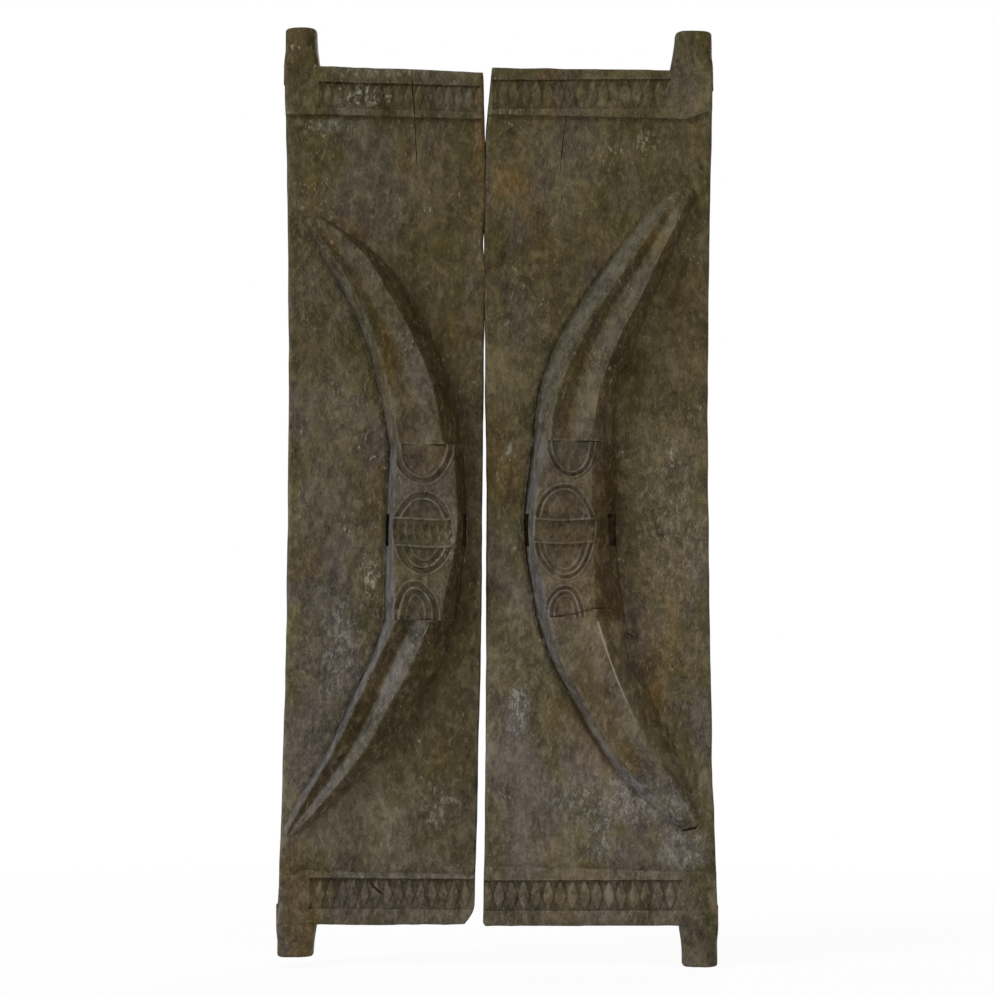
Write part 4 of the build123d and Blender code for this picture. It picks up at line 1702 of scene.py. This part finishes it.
    def dress(self, wood: Material) -> None:
        """Shades the leaf, gives it its wood and puts it in the place of its node.

        Args:
            wood: The wood's material.
        """
        mesh = self.piece.data
        count = len(mesh.polygons)
        mesh.materials.clear()
        mesh.materials.append(wood)
        mesh.polygons.foreach_set("material_index", np.zeros(count, np.int32))
        mesh.polygons.foreach_set("use_smooth", np.ones(count, bool))
        mesh.set_sharp_from_angle(angle=math.radians(self.crease_degrees))
        self.age()
        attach(self.piece, BODY)
        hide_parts(self.node)
        triangles = sum(len(face.vertices) - 2 for face in mesh.polygons)
        LOG.info("%s: %d triangles", self.piece.name, triangles)


@dataclass(frozen=True)
class Lamp:
    """A soft square lamp: its name, place, side, power in watts and colour."""

    name: str
    place: Triple
    size: float
    power: float
    tint: Triple

    def hang(self, aim: Triple) -> None:
        """Adds the lamp to the scene.

        Args:
            aim: The place that it faces.
        """
        data = bpy.data.lights.new(self.name, "AREA")
        data.shape = "SQUARE"
        data.size = self.size
        data.energy = self.power
        data.color = self.tint
        lamp = link(self.name, data)
        lamp.location = self.place
        way = Vector(aim) - Vector(self.place)
        lamp.rotation_euler = way.to_track_quat("-Z", "Y").to_euler()


@dataclass(frozen=True)
class Studio:
    """Plain pale stage, soft light from the left and a long lens a little below the middle."""

    distance: float = 3.5893
    drop: float = 0.2777
    aim: Triple = (-0.0006, 0.0, 0.7376)
    focal_pixels: float = 2264.57
    sensor: float = 36.0
    floor_size: float = 14.0
    fade: Pair = (0.7, 2.4)
    near_glow: float = 0.94
    paper_tint: Triple = (0.9, 0.9, 0.9)
    sky_tint: Triple = (1.0, 0.95, 0.86)
    sky_strength: float = 0.25
    lamps: tuple[Lamp, ...] = (
        Lamp("key", (-5.0, -3.0, 5.0), 1.8, 340.0, (0.92, 0.96, 1.0)),
        Lamp("front", (1.5, -4.2, 1.3), 2.4, 50.0, (1.0, 0.94, 0.84)),
        Lamp("rear", (2.2, 5.0, 4.0), 2.4, 190.0, (1.0, 0.97, 0.92)),
    )

    def camera(self) -> None:
        """Adds the camera at the photograph's viewing angle."""
        data = bpy.data.cameras.new("camera")
        data.sensor_fit = "HORIZONTAL"
        data.sensor_width = self.sensor
        data.lens = self.focal_pixels / FRAME_WIDTH * self.sensor
        eye = link("camera", data)
        x, y, z = self.aim
        eye.location = (x, y - self.distance, z - self.drop)
        tilt = math.atan2(self.drop, self.distance)
        eye.rotation_euler = (math.pi / 2.0 + tilt, 0.0, 0.0)
        bpy.context.scene.camera = eye

    def seen(self, bench: Bench) -> Wire:
        """A mask of the rays that show the background: straight, reflected or through glass.

        Args:
            bench: The maker of nodes.

        Returns:
            1 for such rays and 0 for the rest.
        """
        kinds = ("Camera", "Glossy", "Transmission")
        rays = [bench.add("ShaderNodeLightPath", out=f"Is {kind} Ray") for kind in kinds]
        return bench.ramp(rays[0] + rays[1] + rays[2], 0.0, 1.0)

    def paper(self) -> Material:
        """White paper that the camera sees as white, with the object's shadow on it.

        Returns:
            The paper's material.
        """
        material = bpy.data.materials.new("paper")
        bench = Bench.cleared(material)
        matt = bench.add("ShaderNodeBsdfDiffuse", inputs={"Color": (*self.paper_tint, 1.0)})
        white = {"Color": (1.0, 1.0, 1.0, 1.0), "Strength": 1.0}
        glow = bench.add("ShaderNodeEmission", inputs=white)
        away = bench.length(bench.add("ShaderNodeTexCoord", out="Object"))
        share = self.near_glow + bench.ramp(away, *self.fade) * (1.0 - self.near_glow)
        layers = {0: self.seen(bench) * share, 1: matt, 2: glow}
        mixed = bench.add("ShaderNodeMixShader", inputs=layers)
        bench.add("ShaderNodeOutputMaterial", inputs={"Surface": mixed})
        return material

    def stage(self) -> None:
        """Adds the floor."""
        half = self.floor_size / 2.0
        mesh = bpy.data.meshes.new("floor")
        corners = ((-half, -half), (half, -half), (half, half), (-half, half))
        mesh.from_pydata([(*corner, 0.0) for corner in corners], [], [(0, 1, 2, 3)])
        mesh.materials.append(self.paper())
        floor = link("floor", mesh)

    def light(self) -> None:
        """Adds a cool soft key from the left, a warm lamp in front, one behind and an even sky."""
        for lamp in self.lamps:
            lamp.hang(self.aim)
        world = bpy.data.worlds.new("sky")
        bench = Bench.cleared(world)
        dim = {"Color": (*self.sky_tint, 1.0), "Strength": self.sky_strength}
        sky = bench.add("ShaderNodeBackground", inputs=dim)
        bright = {"Color": (1.0, 1.0, 1.0, 1.0), "Strength": 1.0}
        white = bench.add("ShaderNodeBackground", inputs=bright)
        mixed = bench.add("ShaderNodeMixShader", inputs={0: self.seen(bench), 1: sky, 2: white})
        bench.add("ShaderNodeOutputWorld", inputs={"Surface": mixed})
        bpy.context.scene.world = world

    def build(self) -> None:
        """Sets the stage, the light, the camera and the plain view."""
        self.stage()
        self.light()
        self.camera()
        bpy.context.scene.view_settings.view_transform = "Standard"


def left_leaf() -> DoorLeaf:
    """The narrower leaf, on the left.

    Returns:
        The leaf, with its sizes set.
    """
    lower = Limb(
        start=0.5415,
        end=0.204,
        height_shares=(0.86, 0.6, 1.0),
        stations=(
            (0.0, 0.465, 0.53, 0.632, 0.714, 0.842, 1.0),
            (0.2, 0.384, 0.427, 0.512, 0.618, 0.775, 0.95),
            (0.4, 0.271, 0.318, 0.412, 0.492, 0.635, 0.84),
            (0.6, 0.167, 0.207, 0.294, 0.366, 0.49, 0.68),
            (0.82, 0.024, 0.06, 0.114, 0.168, 0.25, 0.46),
            (1.0, -0.077, -0.054, -0.043, -0.01, 0.017, 0.24),
        ),
        light_tones=(1.0, -1.0, 0.5, -0.8),
        nose=0.05,
    )
    upper = Limb(
        start=0.819,
        end=1.189,
        height_shares=(0.9, 0.7, 1.0),
        stations=(
            (0.0, 0.49, 0.545, 0.66, 0.775, 0.878, 1.0),
            (0.2, 0.44, 0.5, 0.625, 0.735, 0.841, 0.97),
            (0.43, 0.365, 0.424, 0.528, 0.635, 0.739, 0.88),
            (0.65, 0.248, 0.306, 0.373, 0.489, 0.608, 0.74),
            (0.83, 0.122, 0.176, 0.233, 0.348, 0.432, 0.54),
            (1.0, 0.004, 0.032, 0.06, 0.1, 0.13, 0.42),
        ),
        light_tones=(0.45, -0.3, 0.35, -0.75),
        nose=0.04,
    )
    horn = Horn(
        lower=lower,
        upper=upper,
        band_stations=(
            (0.0, 0.465, 0.53, 0.765, 0.845),
            (0.5, 0.474, 0.516, 0.85, 0.9),
            (1.0, 0.49, 0.545, 0.835, 0.885),
        ),
    )
    motif = Motif(
        center=0.2015,
        cup_center=0.201,
        arch_center=0.19,
        cup=(0.049, 0.064),
        ring=(0.0485, 0.0655),
        arch=(0.038, 0.062),
        ring_level=0.679,
        rail_spacing=0.043,
        spread=0.0115,
        fillet=0.0023,
        lattice=0.0014,
    )
    stains_and_shadows = (
        # Painted shadow on the field beside the band's right side.
        StainOrShadow((-0.05, 0.69), (0.03, 0.2), BROWN, 0.3),
        StainOrShadow((-0.27, 0.62), (0.06, 0.36), MAUVE, 0.5),
        # Painted shadow of the lower limb on the field to its right.
        StainOrShadow((-0.085, 0.37), (0.1, 0.26), OLIVE, 0.8),
        # Painted shadow of the lower limb on the field to its right.
        StainOrShadow((-0.06, 0.33), (0.06, 0.2), BROWN, 0.48),
        # Painted shadow of the upper limb on the field to its right.
        StainOrShadow((-0.07, 0.98), (0.06, 0.18), OLIVE, 0.5),
        StainOrShadow((-0.176, 0.95), (0.022, 0.09), OCHRE, 0.5),
        StainOrShadow((-0.318, 1.47), (0.04, 0.06), OLIVE, 0.55),
        StainOrShadow((-0.09, 0.25), (0.04, 0.05), CHALK, 0.45, 0.8),
        StainOrShadow((-0.245, 0.49), (0.04, 0.09), CHALK, 0.6, 0.8),
        StainOrShadow((-0.2, 0.61), (0.02, 0.04), LIME, 0.4, 1.0),
        StainOrShadow((-0.25, 0.9), (0.03, 0.06), CHALK, 0.35, 0.8),
        StainOrShadow((-0.026, 1.34), (0.012, 0.12), AMBER, 0.75, 0.7),
        StainOrShadow((-0.025, 1.12), (0.008, 0.14), AMBER, 0.5, 0.8),
        StainOrShadow((-0.19, 1.424), (0.1, 0.012), CHALK, 0.75, 0.7),
        StainOrShadow((-0.215, 1.386), (0.06, 0.02), LIME, 0.75, 1.0),
        StainOrShadow((-0.27, 1.338), (0.035, 0.012), CHALK, 0.85, 0.7),
        # Painted shadow below and right of the upper limb.
        StainOrShadow((-0.1, 1.16), (0.06, 0.05), OLIVE, 0.4),
        StainOrShadow((-0.075, 0.66), (0.014, 0.03), LIME, 0.45, 1.0),
        StainOrShadow((-0.12, 0.8), (0.035, 0.035), ROSE, 0.45),
    )
    return DoorLeaf(
        node="left_leaf",
        side=Side.LEFT,
        reach=0.298,
        low=0.0675,
        high=1.436,
        top_fall=0.0125,
        foot=0.0155,
        top=1.5,
        bottom_radius=0.0285,
        top_radius=0.026,
        top_flare=(0.005, 0.05),
        bottom_flare=(0.005, 0.045),
        edge_hollow=0.012,
        slack=0.016,
        edge_shares=(
            (0.0, 1.1),
            (0.32, 0.47),
            (0.6, 0.26),
            (0.7, 0.16),
            (0.765, 0.05),
            (0.796, 0.3),
            (0.827, 0.03),
            (0.87, 0.02),
            (1.0, 0.26),
        ),
        corner=(0.014, 0.024),
        lower_line=((-0.03, 0.119), (0.014, 0.1505), (0.3, 0.1435)),
        upper_line=((-0.03, 1.3555), (0.014, 1.3555), (0.3, 1.3475)),
        horn=horn,
        motif=motif,
        rows=(
            Row(0.1595, 1.3835, 0.243, 0.0445, 15, -1.6, (0.0022, 0.0009), plumpness=1.45),
            Row(0.1545, 0.1145, 0.245, 0.0495, 14, -0.4, (0.0026, 0.0017), 0.9, 1.12),
        ),
        scores=(
            Score(((0.027, 0.1405), (0.0285, 0.09)), half_width=0.0016),
            Score(((0.18, 1.44), (0.1815, 1.39), (0.1855, 1.347)), depth=0.005),
            Score(((0.1855, 1.358), (0.1865, 1.314), (0.189, 1.268)), 0.0009, 0.0045, False),
            Score(((0.028, 1.2625), (0.0395, 1.2445), (0.0525, 1.225)), 0.0014, 0.0016, False),
            Score(
                ((0.115, 0.135), (0.1195, 0.1295), (0.129, 0.1215), (0.141, 0.1115)), 0.003, 0.006
            ),
            Score(((0.2025, 0.151), (0.204, 0.1), (0.203, 0.06)), half_width=0.0009, depth=0.0022),
        ),
        finish=AgedWood("left_wood", seed=0.0, stains_and_shadows=stains_and_shadows),
        seed=3.0,
    )


def right_leaf() -> DoorLeaf:
    """The wider leaf, on the right.

    Returns:
        The leaf, with its sizes set.
    """
    lower = Limb(
        start=0.546,
        end=0.218,
        height_shares=(1.0, 0.84, 0.92),
        stations=(
            (0.0, 0.345, 0.484, 0.555, 0.701, 0.759, 1.0),
            (0.2, 0.298, 0.422, 0.504, 0.648, 0.691, 0.95),
            (0.39, 0.216, 0.348, 0.426, 0.542, 0.595, 0.84),
            (0.58, 0.124, 0.255, 0.338, 0.436, 0.494, 0.68),
            (0.77, 0.051, 0.139, 0.213, 0.288, 0.365, 0.5),
            (1.0, -0.007, 0.01, 0.037, 0.064, 0.117, 0.32),
        ),
        light_tones=(0.6, -0.15, 0.25, -0.55),
        arris=(0.02, 0.5),
        nose=0.035,
    )
    upper = Limb(
        start=0.8245,
        end=1.238,
        height_shares=(1.0, 0.72, 0.9),
        stations=(
            (0.0, 0.386, 0.501, 0.602, 0.701, 0.776, 1.0),
            (0.17, 0.376, 0.471, 0.579, 0.663, 0.754, 0.97),
            (0.36, 0.299, 0.393, 0.488, 0.567, 0.682, 0.9),
            (0.55, 0.207, 0.273, 0.375, 0.436, 0.55, 0.78),
            (0.73, 0.11, 0.17, 0.229, 0.285, 0.391, 0.62),
            (0.88, 0.035, 0.076, 0.124, 0.16, 0.248, 0.42),
            (1.0, -0.021, 0.003, 0.027, 0.045, 0.09, 0.2),
        ),
        light_tones=(0.6, -0.55, 0.3, -0.7),
        nose=0.05,
    )
    horn = Horn(
        lower=lower,
        upper=upper,
        band_stations=(
            (0.0, 0.345, 0.484, 0.701, 0.759),
            (0.5, 0.385, 0.5, 0.775, 0.814),
            (1.0, 0.386, 0.501, 0.701, 0.776),
        ),
        score_lean=0.015,
    )
    motif = Motif(
        center=0.2125,
        cup_center=0.201,
        arch_center=0.2125,
        cup=(0.039, 0.058),
        ring=(0.049, 0.0755),
        arch=(0.033, 0.052),
        ring_level=0.6815,
        rail_spacing=0.0365,
        spread=0.0085,
    )
    stains_and_shadows = (
        StainOrShadow((0.19, 0.26), (0.11, 0.05), CHALK, 0.7, 0.7),
        StainOrShadow((0.29, 0.185), (0.045, 0.035), CHALK, 0.85, 0.6),
        StainOrShadow((0.16, 0.2), (0.03, 0.04), CHALK, 0.6, 0.7),
        StainOrShadow((0.032, 0.4), (0.022, 0.05), CHALK, 0.9, 0.6),
        StainOrShadow((0.03, 0.41), (0.014, 0.04), LIME, 0.5, 1.0),
        StainOrShadow((0.25, 0.45), (0.03, 0.08), OCHRE, 0.6),
        StainOrShadow((0.235, 0.625), (0.025, 0.03), AMBER, 0.4, 0.5),
        StainOrShadow((0.09, 0.39), (0.03, 0.04), RUST, 0.5),
        StainOrShadow((0.016, 1.246), (0.03, 0.035), AMBER, 0.45, 0.4),
        StainOrShadow((0.25, 0.9), (0.05, 0.08), OLIVE, 0.5),
        # Painted shade down the band's right fall, which turns away from the light.
        StainOrShadow((0.18, 0.7), (0.018, 0.16), UMBER, 0.75, 0.2),
        StainOrShadow((0.15, 0.93), (0.05, 0.14), RUST, 0.2),
        StainOrShadow((0.27, 0.72), (0.08, 0.24), TAN, 0.85, 0.5),
        StainOrShadow((0.13, 0.112), (0.24, 0.05), TAN, 0.55, 0.3),
        StainOrShadow((0.13, 1.388), (0.2, 0.05), TAN, 0.25, 0.3),
        StainOrShadow((0.285, 0.25), (0.03, 0.03), CHALK, 0.6, 0.6),
        StainOrShadow((0.1, 0.56), (0.03, 0.03), RUST, 0.6),
        StainOrShadow((0.15, 0.42), (0.05, 0.14), RUST, 0.5),
        StainOrShadow((0.11, 0.67), (0.06, 0.16), ROSE, 0.55),
        StainOrShadow((0.115, 0.67), (0.02, 0.022), AMBER, 0.4, 0.5),
        StainOrShadow((0.3, 1.0), (0.02, 0.2), RUST, 0.35),
        StainOrShadow((0.318, 0.04), (0.045, 0.06), OLIVE, 0.55),
        StainOrShadow((0.139, 0.7), (0.008, 0.014), LIME, 0.6, 0.9),
        StainOrShadow((0.017, 0.813), (0.008, 0.013), LIME, 0.55, 0.4),
        StainOrShadow((0.277, 0.793), (0.008, 0.035), LIME, 0.6, 1.0),
        StainOrShadow((0.24, 1.31), (0.025, 0.02), LIME, 0.4, 1.0),
        StainOrShadow((0.21, 0.52), (0.016, 0.012), BROWN, 0.9, 0.2),
    )
    return DoorLeaf(
        node="right_leaf",
        side=Side.RIGHT,
        reach=0.3376,
        low=0.066,
        high=1.4265,
        top_fall=-0.005,
        foot=0.0,
        top=1.494,
        bottom_radius=0.028,
        top_radius=0.03,
        top_flare=(0.01, 0.062),
        bottom_flare=(0.004, 0.045),
        edge_hollow=0.011,
        slack=0.0125,
        edge_shares=(
            (0.0, -0.08),
            (0.2, 0.19),
            (0.5, 0.25),
            (0.85, 0.02),
            (0.93, 0.2),
            (1.0, 1.0),
        ),
        corner=(0.003, 0.004),
        lower_line=((-0.03, 0.149), (0.014, 0.149), (0.34, 0.157)),
        upper_line=((-0.03, 1.364), (0.014, 1.3475), (0.34, 1.3555)),
        horn=horn,
        motif=motif,
        rows=(
            Row(0.1825, 1.388, 0.269, 0.0495, 15, 0.3, (0.0016, 0.001), plumpness=1.4),
            Row(0.1905, 0.112, 0.306, 0.049, 16, 0.2, (0.003, 0.0023), 0.98, 1.3),
        ),
        scores=(
            Score(((0.2055, 1.362), (0.2125, 1.314), (0.2175, 1.2575)), 0.0009, 0.0045, False),
            Score(((0.032, 0.2125), (0.014, 0.2155), (-0.006, 0.221)), 0.0046, 0.0026, False, 0.2),
            Score(((0.1262, 0.5327), (0.11, 0.52), (0.0914, 0.511)), 0.002, 0.0028, False),
        ),
        finish=AgedWood(
            "right_wood",
            seed=4.0,
            stains_and_shadows=stains_and_shadows,
            body=(0.094, 0.077, 0.04),
            pale=(0.134, 0.116, 0.075),
        ),
        seed=8.0,
        foot_cut=(0.0018, 0.003, 0.42),
        painted_foot_shadow=1.0,
        painted_lee_shadow=0.2,
    )


def main() -> None:
    """Loads the frame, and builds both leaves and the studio."""
    logging.basicConfig(level=logging.INFO, format="%(name)s: %(message)s")
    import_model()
    adze = AdzeMarks()
    lozenges = LozengeRow()
    knife = ScoredLine()
    for leaf in (left_leaf(), right_leaf()):
        leaf.build(adze, lozenges, knife)
    Studio().build()


if __name__ == "__main__":
    main()
